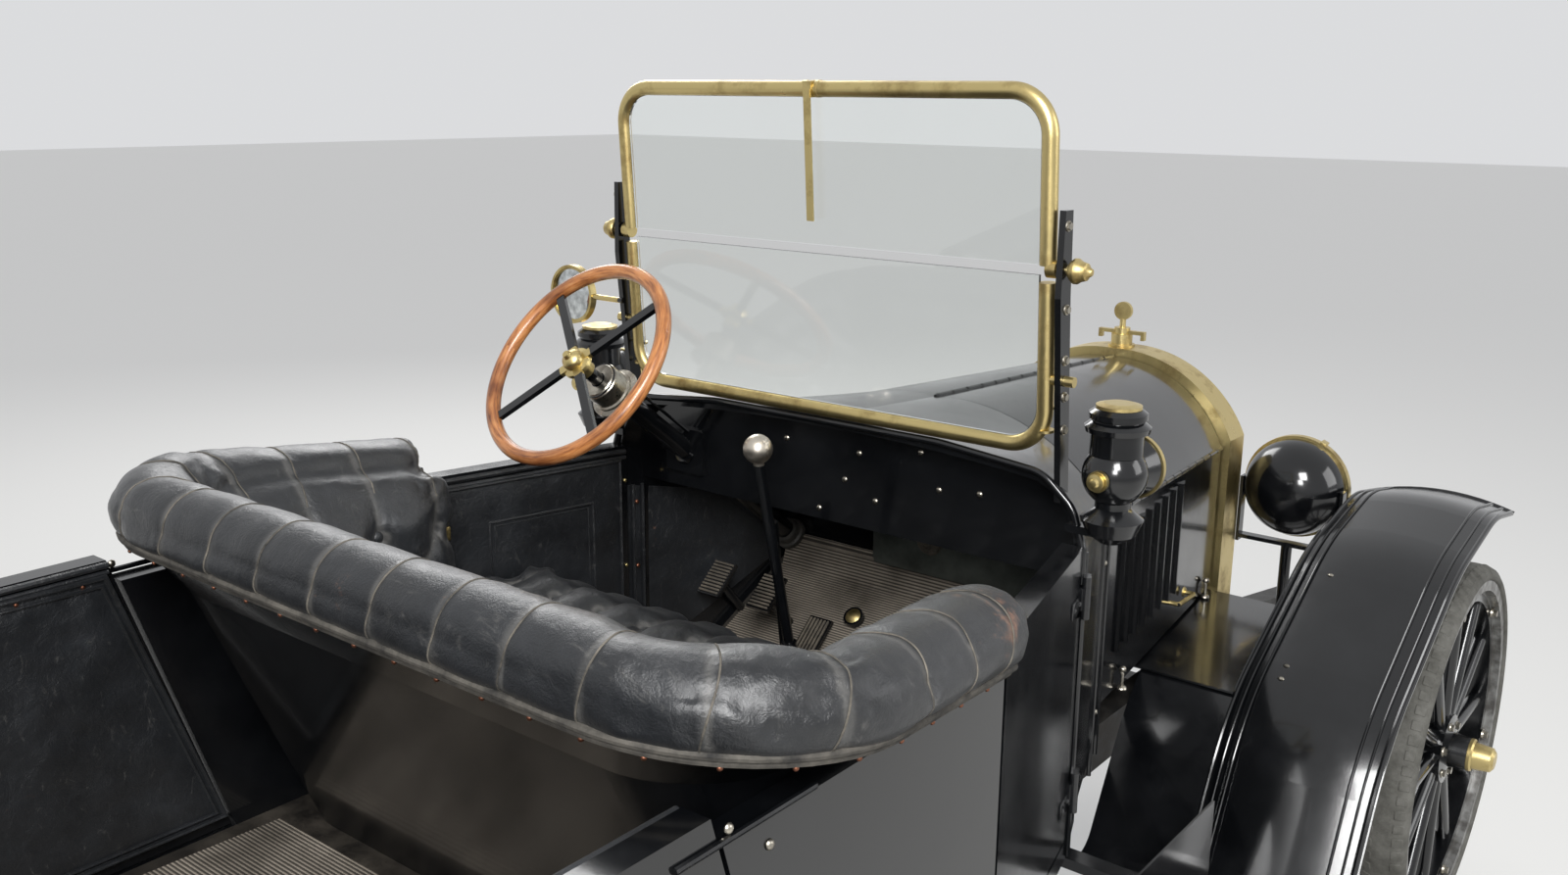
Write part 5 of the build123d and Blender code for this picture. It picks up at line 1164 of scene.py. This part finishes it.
# Body
def bonnet_point(share, on_top=False):
    """Point on the bonnet's shoulder hinge, or on its centre hinge: share 0 at the radiator."""
    half, shoulder, top = [a + (b - a) * share for a, b in zip(BONNET_FRONT, BONNET_REAR)]
    y = BONNET_FRONT_Y + (BONNET_BACK_Y - BONNET_FRONT_Y) * share
    return Vector((0.0, y, top)) if on_top else Vector((half, y, shoulder))


class CAR_OT_bonnet_fittings(bpy.types.Operator):
    """Hinge knuckles, catches and bail handles of the bonnet."""

    bl_idname = "car.bonnet_fittings"
    bl_label = "Bonnet fittings"

    def execute(self, context):
        knuckle_ends = [[(k + share) / BONNET_KNUCKLES for share in (0.06, 0.94)] for k in range(BONNET_KNUCKLES)]
        centre = bmesh.new()
        for ends in knuckle_ends:
            add_bead(centre, [bonnet_point(share, True) for share in ends], 0.0052)
        finish_piece("bonnet_centre_hinge", centre, "enamel")
        y = BONNET_BACK_Y - 0.470
        half = bonnet_point((y - BONNET_FRONT_Y) / (BONNET_BACK_Y - BONNET_FRONT_Y)).x
        arm = ((-0.001, 0.040), (0.020, 0.040), (0.024, 0.036))
        for name, way in SIDES:
            flip = Matrix.Diagonal((way, 1.0, 1.0))
            knuckles, bail, catches = bmesh.new(), bmesh.new(), bmesh.new()
            for ends in knuckle_ends:
                add_bead(knuckles, [flip @ bonnet_point(share) for share in ends], 0.0050)
            finish_piece(f"bonnet_side_hinge_{name}", knuckles, "enamel", f"bonnet_leaf_{name}")
            handle = [(out, -along) for out, along in arm] + [*reversed(arm)]
            add_bead(bail, [(way * (half + out), y + along, 0.755) for out, along in handle], 0.0051)
            for end in (y - 0.040, y + 0.040):
                foot = (way * (half + 0.0005), end, 0.755)
                add_turned(bail, ((0.0, 0.004), (0.009, 0.003), (0.011, 0.0)), foot, (way, 0, 0), 16)
            finish_piece(f"bonnet_handle_{name}", bail, "brass", f"bonnet_flap_{name}")
            for share in (0.10, 0.86):
                at = bonnet_point(share)
                foot = Vector((way * (at.x + 0.010), at.y, 0.690))
                head = foot + UP * 0.040
                add_bead(catches, [foot, foot + UP * 0.030, head - Vector((way * 0.006, 0, 0))], 0.0030)
                add_dome(catches, foot + UP * 0.002, UP, 0.010, 0.006)
                add_dome(catches, head, (way, 0, 0), 0.0065, 0.0065)
            finish_piece(f"bonnet_catches_{name}", catches, "nickel")
        return {"FINISHED"}


def wing_line(x, drop):
    """Points along a front wing at one distance from the car's middle."""
    corners = [(-1.400, 0.925), (-1.229, 0.955), (-0.950, 0.905), (-0.560, 0.690), (-0.400, 0.400), (-0.328, 0.400)]
    flat = rounded_path(corners, (0.3, 0.5, 0.4, 0.06), 14)
    return [Vector((x, SCREEN_Y + y, z - drop)) for y, z in flat]


def rear_wing_line(x, lift):
    """Points along a rear wing."""
    angles = [math.radians(16 + 164 * k / 40) for k in range(41)]
    reach = 0.470 + lift
    return [Vector((x, REAR_AXLE_Y + reach * math.cos(a), AXLE_Z + reach * math.sin(a))) for a in angles]


class CAR_OT_wing_fittings(bpy.types.Operator):
    """Wired edges, swages and bolts of the wings and running boards."""

    bl_idname = "car.wing_fittings"
    bl_label = "Wing fittings"

    def execute(self, context):
        wire = context.scene.car_fittings.bead_radius
        for name, way in SIDES:
            beads, bolts = bmesh.new(), bmesh.new()
            for x, drop, radius in (
                (WING_EDGE_X - wire, 0.0215, wire), (0.531, 0.0215, 0.0042), (0.548, 0.0150, 0.0026),
                (0.770, 0.0090, 0.0028), (0.792, 0.0150, 0.0024), (0.566, 0.0105, 0.0024),
            ):
                add_bead(beads, wing_line(way * x, drop), radius)
            lip = [(way * (0.53 + 0.285 * k / 12), ws(-1400), 0.925 - 0.0225 * (k / 6 - 1) ** 2) for k in range(13)]
            add_bead(beads, lip, 0.0045)
            for x, lift, radius in (
                (WING_EDGE_X - wire, -0.002, wire), (0.600, -0.002, 0.0040), (0.622, 0.0005, 0.0026),
            ):
                add_bead(beads, rear_wing_line(way * x, lift), radius)
            add_bead(beads, [(way * 0.812, ws(-330), 0.392), (way * 0.812, ws(1164), 0.392)], 0.0048)
            for y in (-820, -760, -700, -640):
                spot = min(wing_line(way * 0.60, 0.010), key=lambda point: abs(point.y - ws(y)))
                add_dome(bolts, spot, (0, -0.35, 1), 0.0075, 0.0045)
            for y in (-300, 60, 420, 780, 1140):
                for x in (0.632, 0.788):
                    add_dome(bolts, (way * x, ws(y), 0.3962), UP, 0.0075, 0.0035)
            finish_piece(f"wing_beads_{name}", beads, "enamel")
            finish_piece(f"wing_bolts_{name}", bolts, "nickel")
        return {"FINISHED"}


class CAR_OT_body_beads(bpy.types.Operator):
    """Half-round beads that cover the body's seams, and rivets along the shut lines."""

    bl_idname = "car.body_beads"
    bl_label = "Body beads"

    def execute(self, context):
        for name, way in SIDES:
            beads, bolts = bmesh.new(), bmesh.new()
            # distance from the car's middle, both ends as place along the car and height, radius
            for x, *ends, radius in (
                (0.4925, (ws(-6), 1.108), (ws(-6), 0.604), 0.0040),
                (0.368, (-0.586, 1.050), (-0.586, 0.604), 0.0048),
                (0.3975, (-0.503, 1.066), (-0.503, 0.604), 0.0044),
                (0.5915, (0.560, 1.088), (0.770, 1.088), 0.0042),
                (0.5465, (ws(452), 1.085), (ws(560), 0.640), 0.0032),
                (0.590, (ws(1297), 1.118), (ws(1297), 0.604), 0.0036),
            ):
                add_bead(beads, [(way * x, y, z) for y, z in ends], radius)
            for x, y, z, radius, height in (
                (0.5910, 0.694, 1.098, 0.0062, 0.004), (0.5910, 0.632, 1.053, 0.0062, 0.004),
                (0.3785, -0.556, 0.70, 0.0048, 0.003), (0.3785, -0.556, 0.98, 0.0048, 0.003),
            ):
                add_dome(bolts, (way * x, y, z), (way, 0, 0), radius, height)
            finish_piece(f"body_beads_{name}", beads, "enamel")
            finish_piece(f"body_rivets_{name}", bolts, "nickel")
        return {"FINISHED"}


class CAR_OT_door_hinges(bpy.types.Operator):
    """Barrel hinges of the four doors: knuckles on the pillars, straps on the doors."""

    bl_idname = "car.door_hinges"
    bl_label = "Door hinges"

    def execute(self, context):
        for name, way in SIDES:
            knuckles = bmesh.new()
            # pin, lean of the door, reach of the strap, lower hinge: the rear door is cut away over its wing,
            # so its lower hinge sits higher
            for end, pin_x, pin_y, lean, reach, low_hinge in (
                ("front", 0.5005, ws(2.5), 0.2404, 0.034, 0.712), ("rear", 0.5985, ws(1292.5), 0.0, -0.034, 0.830),
            ):
                straps = bmesh.new()
                along = Vector((way * math.sin(lean), math.cos(lean), 0))
                out = Vector((way * math.cos(lean), -math.sin(lean), 0))
                turn = Matrix.Rotation(-way * lean, 4, "Z")
                for z in (low_hinge, 1.035):
                    pin = Vector((way * pin_x, pin_y, z))
                    for low, high in ((-0.026, -0.010), (-0.008, 0.008), (0.010, 0.026)):
                        add_bead(knuckles, [pin + UP * low, pin + UP * high], 0.0055)
                    add_block(straps, pin - out * 0.0062 + along * reach, (0.0032, 0.052, 0.026), turn, 0.001)
                    for shift in (-0.016, 0.016):
                        add_dome(straps, pin - out * 0.0048 + along * (reach + shift), out, 0.0042, 0.0026)
                finish_piece(f"door_{end}_{name}_straps", straps, "enamel", f"{end}_door_{name}")
            finish_piece(f"door_knuckles_{name}", knuckles, "enamel")
        return {"FINISHED"}


class CAR_OT_radiator_fins(bpy.types.Operator):
    """Fins and tubes over the face of the radiator core."""

    bl_idname = "car.radiator_fins"
    bl_label = "Radiator fins"

    def execute(self, context):
        low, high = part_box("radiator_core")
        tree = search_tree(NODES["radiator_core"].data)
        fins = bmesh.new()
        middle = (low + high) / 2
        for k in range(int((high.z - low.z - 0.012) / FIN_PITCH)):
            z = low.z + 0.008 + FIN_PITCH * k
            side = tree.ray_cast(Vector((0, middle.y, z)), Vector((1, 0, 0)))[0]
            if side is not None and side.x > 0.02:
                add_block(fins, (0, low.y - 0.0012, z), (2 * side.x - 0.006, 0.0034, 0.0014))
        for k in range(-14, 15):
            x = TUBE_PITCH * k
            roof = tree.ray_cast(Vector((x, middle.y, middle.z)), UP)[0]
            if roof is not None and abs(x) < high.x - 0.006:
                ends = [(x, low.y - 0.0008, low.z + 0.004), (x, low.y - 0.0008, roof.z - 0.004)]
                add_bead(fins, ends, 0.0022, resolution=1)
        if not fins.faces:
            raise RuntimeError("the radiator core gave no fins")
        finish_piece("radiator_core_fins", fins, "core")
        return {"FINISHED"}


# Wheels, lamps and screen
# half section of a tyre: across from its middle, radius
TYRE_HALF = (
    (0.0, 0.4056), (0.010, 0.4054), (0.019, 0.4043), (0.0265, 0.4021), (0.0330, 0.3990), (0.0385, 0.3950),
    (0.0425, 0.3898), (0.0442, 0.3845), (0.0437, 0.3800), (0.0415, 0.3765), (0.0380, 0.3748), (0.0345, 0.3744),
    (0.0345, TYRE_HOLLOW),
)


class CAR_OT_tyres(bpy.types.Operator):
    """Worn tyres: round section with moulded side rings, and shallow blocks across their shoulders."""

    bl_idname = "car.tyres"
    bl_label = "Tyres"

    def execute(self, context):
        count = context.scene.car_fittings.tread_blocks
        section = [(radius, -across) for across, radius in reversed(TYRE_HALF[1:])]
        section += [(radius, across) for across, radius in TYRE_HALF] + section[:1]
        block = (0.021, math.tau * 0.402 / count * 0.66, 0.0100)
        for end, y in AXLES:
            for name, way in SIDES:
                tyre = bmesh.new()
                hub = Vector((way * WHEEL_X, y, AXLE_Z))
                add_turned(tyre, section, hub, (1, 0, 0), 96)
                for across in (-0.0405, 0.0405):
                    angles = [math.tau * k / 72 for k in range(72)]
                    ring = [hub + Vector((across, 0.3835 * math.cos(a), 0.3835 * math.sin(a))) for a in angles]
                    add_bead(tyre, ring, 0.0042, closed=True, resolution=1)
                for k in range(count):
                    for half, across, lean in ((0.0, 0.0262, 0.40), (0.5, -0.0262, -0.40)):
                        turn = Matrix.Rotation(math.tau * (k + half) / count, 4, "X")
                        spot = hub + turn @ Vector((across, 0.0, 0.3978))
                        add_block(tyre, spot, block, turn @ Matrix.Rotation(lean, 4, "Y"), 0.0016, 1)
                piece = finish_piece(f"tyre_{end}_{name}_rubber", tyre, "tyre", f"road_wheel_{end}_{name}")
                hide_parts(f"tyre_{end}_{name}")
        return {"FINISHED"}


class CAR_OT_wheel_fittings(bpy.types.Operator):
    """Hub bolts, rim clips, hub cap rings and valves of the wheels."""

    bl_idname = "car.wheel_fittings"
    bl_label = "Wheel fittings"

    def execute(self, context):
        cap = (0.0, 0.0004), (0.0145, 0.0003), (0.0165, -0.0015), (0.0185, -0.0030)
        ring = (0.0315, -0.014), (0.0352, -0.010), (0.0352, -0.004), (0.0315, 0.0)
        for end, y in AXLES:
            for name, way in SIDES:
                bolts, caps = bmesh.new(), bmesh.new()
                out = Vector((way, 0, 0))
                hub = Vector((way * WHEEL_X, y, AXLE_Z))
                for k in range(6):
                    angle = math.tau * (k + 0.25) / 6
                    spoke = Vector((0, math.cos(angle), math.sin(angle)))
                    add_bolt(bolts, hub + out * 0.020 + spoke * 0.057, out, 0.0085, 0.009)
                    add_bolt(bolts, hub + out * 0.024 + spoke * 0.341, out, 0.0085, 0.012)
                valve = hub + out * 0.006 + UP * 0.326
                add_bead(bolts, [valve, valve - UP * 0.030], 0.0038)
                add_turned(caps, cap, hub + out * 0.1114, out)
                add_turned(caps, ring, hub + out * 0.072, out)
                body = f"road_wheel_{end}_{name}"
                finish_piece(f"wheel_{end}_{name}_bolts", bolts, "nickel", body)
                finish_piece(f"wheel_{end}_{name}_cap_rings", caps, "brass", body)
        return {"FINISHED"}


class CAR_OT_lamp_fittings(bpy.types.Operator):
    """Rim clips, skins and reflectors of the headlamps, and knob rings of the scuttle lamps."""

    bl_idname = "car.lamp_fittings"
    bl_label = "Lamp fittings"

    def execute(self, context):
        bowl_profile = (0.0, 0.052), (0.040, 0.046), (0.072, 0.026), (0.094, 0.004)
        knob_profile = (0.0, 0.006), (0.005, 0.005), (0.0075, 0.001), (0.0125, 0.0), (0.0125, -0.006)
        bulge = [(math.sin(k * math.pi / 36), 1 - math.cos(k * math.pi / 36)) for k in range(19)]
        skin_profile = [(0.1090 * out ** 0.909, 0.0985 * fall) for out, fall in bulge]
        x, y, z = HEADLAMP
        for name, way in SIDES:
            brass, bowl, skin = bmesh.new(), bmesh.new(), bmesh.new()
            centre = Vector((way * x, y, z))
            for k in range(3):
                angle = math.radians(90 + 120 * k + 25)
                spot = centre + Vector((0.1155 * math.cos(angle), -0.006, 0.1155 * math.sin(angle)))
                add_block(brass, spot, (0.006, 0.026, 0.014), Matrix.Rotation(-angle, 4, "Y"), 0.001)
            add_turned(bowl, bowl_profile, centre + Vector((0, 0.002, 0)), (0, 1, 0), 40)
            add_turned(skin, skin_profile, centre + Vector((0, HEADLAMP_DEPTH + 0.0015, 0)), (0, -1, 0), 56)
            add_turned(brass, knob_profile, (way * 0.530, ws(61.2), 1.236), (0, 1, 0), 24)
            finish_piece(f"lamp_{name}_clips", brass, "brass")
            finish_piece(f"headlamp_{name}_skin", skin, "enamel")
            finish_piece(f"headlamp_{name}_reflector", bowl, "mirror")
        return {"FINISHED"}


class CAR_OT_screen_fittings(bpy.types.Operator):
    """Stanchion bolts, fold knobs and frame sleeves of the windscreen, its hook strip's collars, the mirror's face."""

    bl_idname = "car.screen_fittings"
    bl_label = "Windscreen fittings"

    def execute(self, context):
        bolts, brass, face, collars = bmesh.new(), bmesh.new(), bmesh.new(), bmesh.new()
        knob = (
            (0.0, 0.016), (0.005, 0.015), (0.0085, 0.009), (0.0125, 0.007), (0.0150, -0.002), (0.0185, -0.007),
            (0.0185, -0.012), (0.0145, -0.017),
        )
        for way in (1, -1):
            for z in (1.290, 1.340, 1.395, 1.470, 1.590):
                add_bolt(bolts, (way * 0.4475, screen_y(z), z), (way, 0, 0), 0.0062, 0.005)
            add_turned(brass, knob, (way * 0.4715, *SCREEN_PIVOT), (way, 0, 0))
            for z in (1.282, 1.318):
                spot = Vector((way * 0.417, SCREEN_Y, z))
                add_bead(brass, [spot, spot + Vector((0, 0.0002, 0.004))], 0.0136, resolution=4)
        add_turned(face, ((0.0, 0.001), (0.047, 0.0), (0.0495, -0.002)), (0.569, ws(29.5), 1.398), (0, 1, 0), 40)
        collar = (0.0118, -0.0045), (0.0134, -0.0035), (0.0134, 0.0035), (0.0118, 0.0045)
        for x in (-0.012, 0.012):
            add_turned(collars, collar, (x, screen_y(1.776), 1.776), (1, 0, 0), 24)
        finish_piece("hook_strip_collars", collars, "brass", "screen_upper_half")
        finish_piece("stanchion_bolts", bolts, "nickel")
        finish_piece("screen_knobs", brass, "brass")
        finish_piece("mirror_face", face, "mirror")
        return {"FINISHED"}


class CAR_OT_frame_rivets(bpy.types.Operator):
    """Rivets along the frame rails and clips round the springs."""

    bl_idname = "car.frame_rivets"
    bl_label = "Frame rivets"

    def execute(self, context):
        rivets = bmesh.new()
        for way in (1, -1):
            for y in (-1.402, -0.1525, 0.6675, 1.208, 1.743):
                for shift in (-0.02, 0.02):
                    for z in (0.552, 0.598):
                        add_dome(rivets, (way * 0.335, y + shift, z), (way, 0, 0), 0.0075, 0.0045)
            for y, reach, z in ((FRONT_AXLE_Y, 0.12, 0.400), (REAR_AXLE_Y, 0.14, 0.470)):
                for shift in (-reach, reach):
                    add_block(rivets, (way * 0.31, y + shift, z), (0.046, 0.014, 0.050), None, 0.002)
        finish_piece("frame_rivets", rivets, "chassis")
        return {"FINISHED"}


# finishes, each with the CAD nodes that keep their shape and take it
FINISHES = {
    "chassis": "chassis_frame axles_and_springs drop_arm steering_links knuckle_left knuckle_right",
    "casting": "engine_and_exhaust",
    "wheel_front": "wheel_front_left wheel_front_right",
    "wheel_rear": "wheel_rear_left wheel_rear_right",
    "enamel": "bonnet_top_left bonnet_top_right bonnet_side_left bonnet_side_right scuttle body_sides wings lamps "
    "door_front_left door_front_right door_rear_left door_rear_right front_seat_shell rear_tub",
    "brass": "radiator_shell windscreen_upper lamp_rims",
    "core": "radiator_core",
    "screen": "windscreen_lower",
    "glass": "windscreen_glass_lower windscreen_glass_upper lamp_glass",
    "wood": "steering_rim",
    "spider": "steering_spider",
    "levers": "controls",
    "boards": "floor",
}


class CAR_OT_cad_finishes(bpy.types.Operator):
    """Materials of the CAD pieces that keep their shape."""

    bl_idname = "car.cad_finishes"
    bl_label = "Finishes of the CAD pieces"

    def execute(self, context):
        make_materials()
        for finish, nodes in FINISHES.items():
            for node in nodes.split():
                slots = NODES[node].data.materials
                slots.clear()
                slots.append(MATERIALS[finish])
        return {"FINISHED"}


# Stage
# place, point it is aimed at, size, power
LIGHTS = {
    "key": ((-2.6, 3.0, 4.1), (0.0, 0.0, 0.9), 1.6, 220.0),
    "near": ((-1.7, 2.2, 2.2), (0.0, -0.4, 0.9), 0.7, 38.0),
    "fill": ((-4.8, -2.4, 2.8), (0.0, -0.6, 0.9), 2.6, 70.0),
    "back": ((4.2, -3.0, 4.2), (0.0, 0.0, 0.9), 2.6, 130.0),
}
CAMERA_PLACE = Vector((-1.3633, 1.5904, 1.7724))
CAMERA_YAW, CAMERA_PITCH, CAMERA_ROLL = 0.6697, 0.2442, 0.0080


class CAR_OT_stage(bpy.types.Operator):
    """Pale floor, soft studio lights and the camera."""

    bl_idname = "car.stage"
    bl_label = "Stage"

    def execute(self, context):
        scene = context.scene
        scene.view_settings.view_transform = "Standard"
        bm = bmesh.new()
        bmesh.ops.create_grid(bm, x_segments=1, y_segments=1, size=40.0)
        floor = new_object("floor_plane", bm)
        floor.data.materials.append(new_material("pale_floor", pale_floor))
        world = bpy.data.worlds.new("studio")
        scene.world = world
        world.use_nodes = True
        tree = world.node_tree
        tree.nodes.clear()
        strength = add_node(tree, "MapRange", {"Value": seen_rays(tree), "To Min": 0.34, "To Max": 0.8})
        sky = add_node(tree, "Background", {"Color": linear("#F2F3F5"), "Strength": strength})
        add_node(tree, "OutputWorld", {"Surface": sky})
        for name, (place, aim, size, power) in LIGHTS.items():
            lamp = bpy.data.lights.new(name, "AREA")
            lamp.shape, lamp.size, lamp.energy = "SQUARE", size, power
            light = bpy.data.objects.new(name, lamp)
            light.location = place
            light.rotation_mode = "QUATERNION"
            light.rotation_quaternion = (Vector(aim) - Vector(place)).to_track_quat("-Z", "Y")
            scene.collection.objects.link(light)
        lens = bpy.data.cameras.new("view")
        lens.sensor_width, lens.lens = 36.0, 31.95
        lens.clip_start, lens.clip_end = 0.05, 200.0
        camera = bpy.data.objects.new("view", lens)
        level = math.cos(CAMERA_PITCH)
        look = Vector((math.sin(CAMERA_YAW) * level, -math.cos(CAMERA_YAW) * level, -math.sin(CAMERA_PITCH)))
        right = look.cross(UP).normalized()
        up = right.cross(look)
        turned_right = right * math.cos(CAMERA_ROLL) + up * math.sin(CAMERA_ROLL)
        turned_up = up * math.cos(CAMERA_ROLL) - right * math.sin(CAMERA_ROLL)
        axes = Matrix((turned_right, turned_up, -look)).transposed().to_4x4()
        camera.matrix_world = Matrix.Translation(CAMERA_PLACE) @ axes
        scene.collection.objects.link(camera)
        scene.camera = camera
        return {"FINISHED"}


OPERATORS = (
    CAR_OT_cad_finishes,
    CAR_OT_seat_cushions,
    CAR_OT_seat_backs,
    CAR_OT_roll_seams,
    CAR_OT_seat_welts,
    CAR_OT_door_trim,
    CAR_OT_cabin_trim,
    CAR_OT_floor_mats,
    CAR_OT_pedals,
    CAR_OT_steering_fittings,
    CAR_OT_dash_fittings,
    CAR_OT_bonnet_fittings,
    CAR_OT_wing_fittings,
    CAR_OT_body_beads,
    CAR_OT_door_hinges,
    CAR_OT_radiator_fins,
    CAR_OT_tyres,
    CAR_OT_wheel_fittings,
    CAR_OT_lamp_fittings,
    CAR_OT_screen_fittings,
    CAR_OT_frame_rivets,
    CAR_OT_stage,
)


class CAR_PT_pieces(bpy.types.Panel):
    """Settings and pieces of the car."""

    bl_label = "Touring car"
    bl_idname = "CAR_PT_pieces"
    bl_space_type = "VIEW_3D"
    bl_region_type = "UI"
    bl_category = "Touring car"

    def draw(self, context):
        for group in (context.scene.car_seats, context.scene.car_finish, context.scene.car_fittings):
            for name in group.bl_rna.properties.keys():
                if name not in {"rna_type", "name"}:
                    self.layout.prop(group, name)
        for operator in OPERATORS:
            self.layout.operator(operator.bl_idname)


CLASSES = (SeatSettings, FinishSettings, FittingSettings, *OPERATORS, CAR_PT_pieces)


def register():
    for item in CLASSES:
        bpy.utils.register_class(item)
    bpy.types.Scene.car_seats = PointerProperty(type=SeatSettings)
    bpy.types.Scene.car_finish = PointerProperty(type=FinishSettings)
    bpy.types.Scene.car_fittings = PointerProperty(type=FittingSettings)


def unregister():
    del bpy.types.Scene.car_fittings
    del bpy.types.Scene.car_finish
    del bpy.types.Scene.car_seats
    for item in reversed(CLASSES):
        bpy.utils.unregister_class(item)


def main():
    """Makes every piece in order."""
    register()
    for operator in OPERATORS:
        getattr(bpy.ops.car, operator.bl_idname.split(".")[1])()


if __name__ == "__main__":
    main()
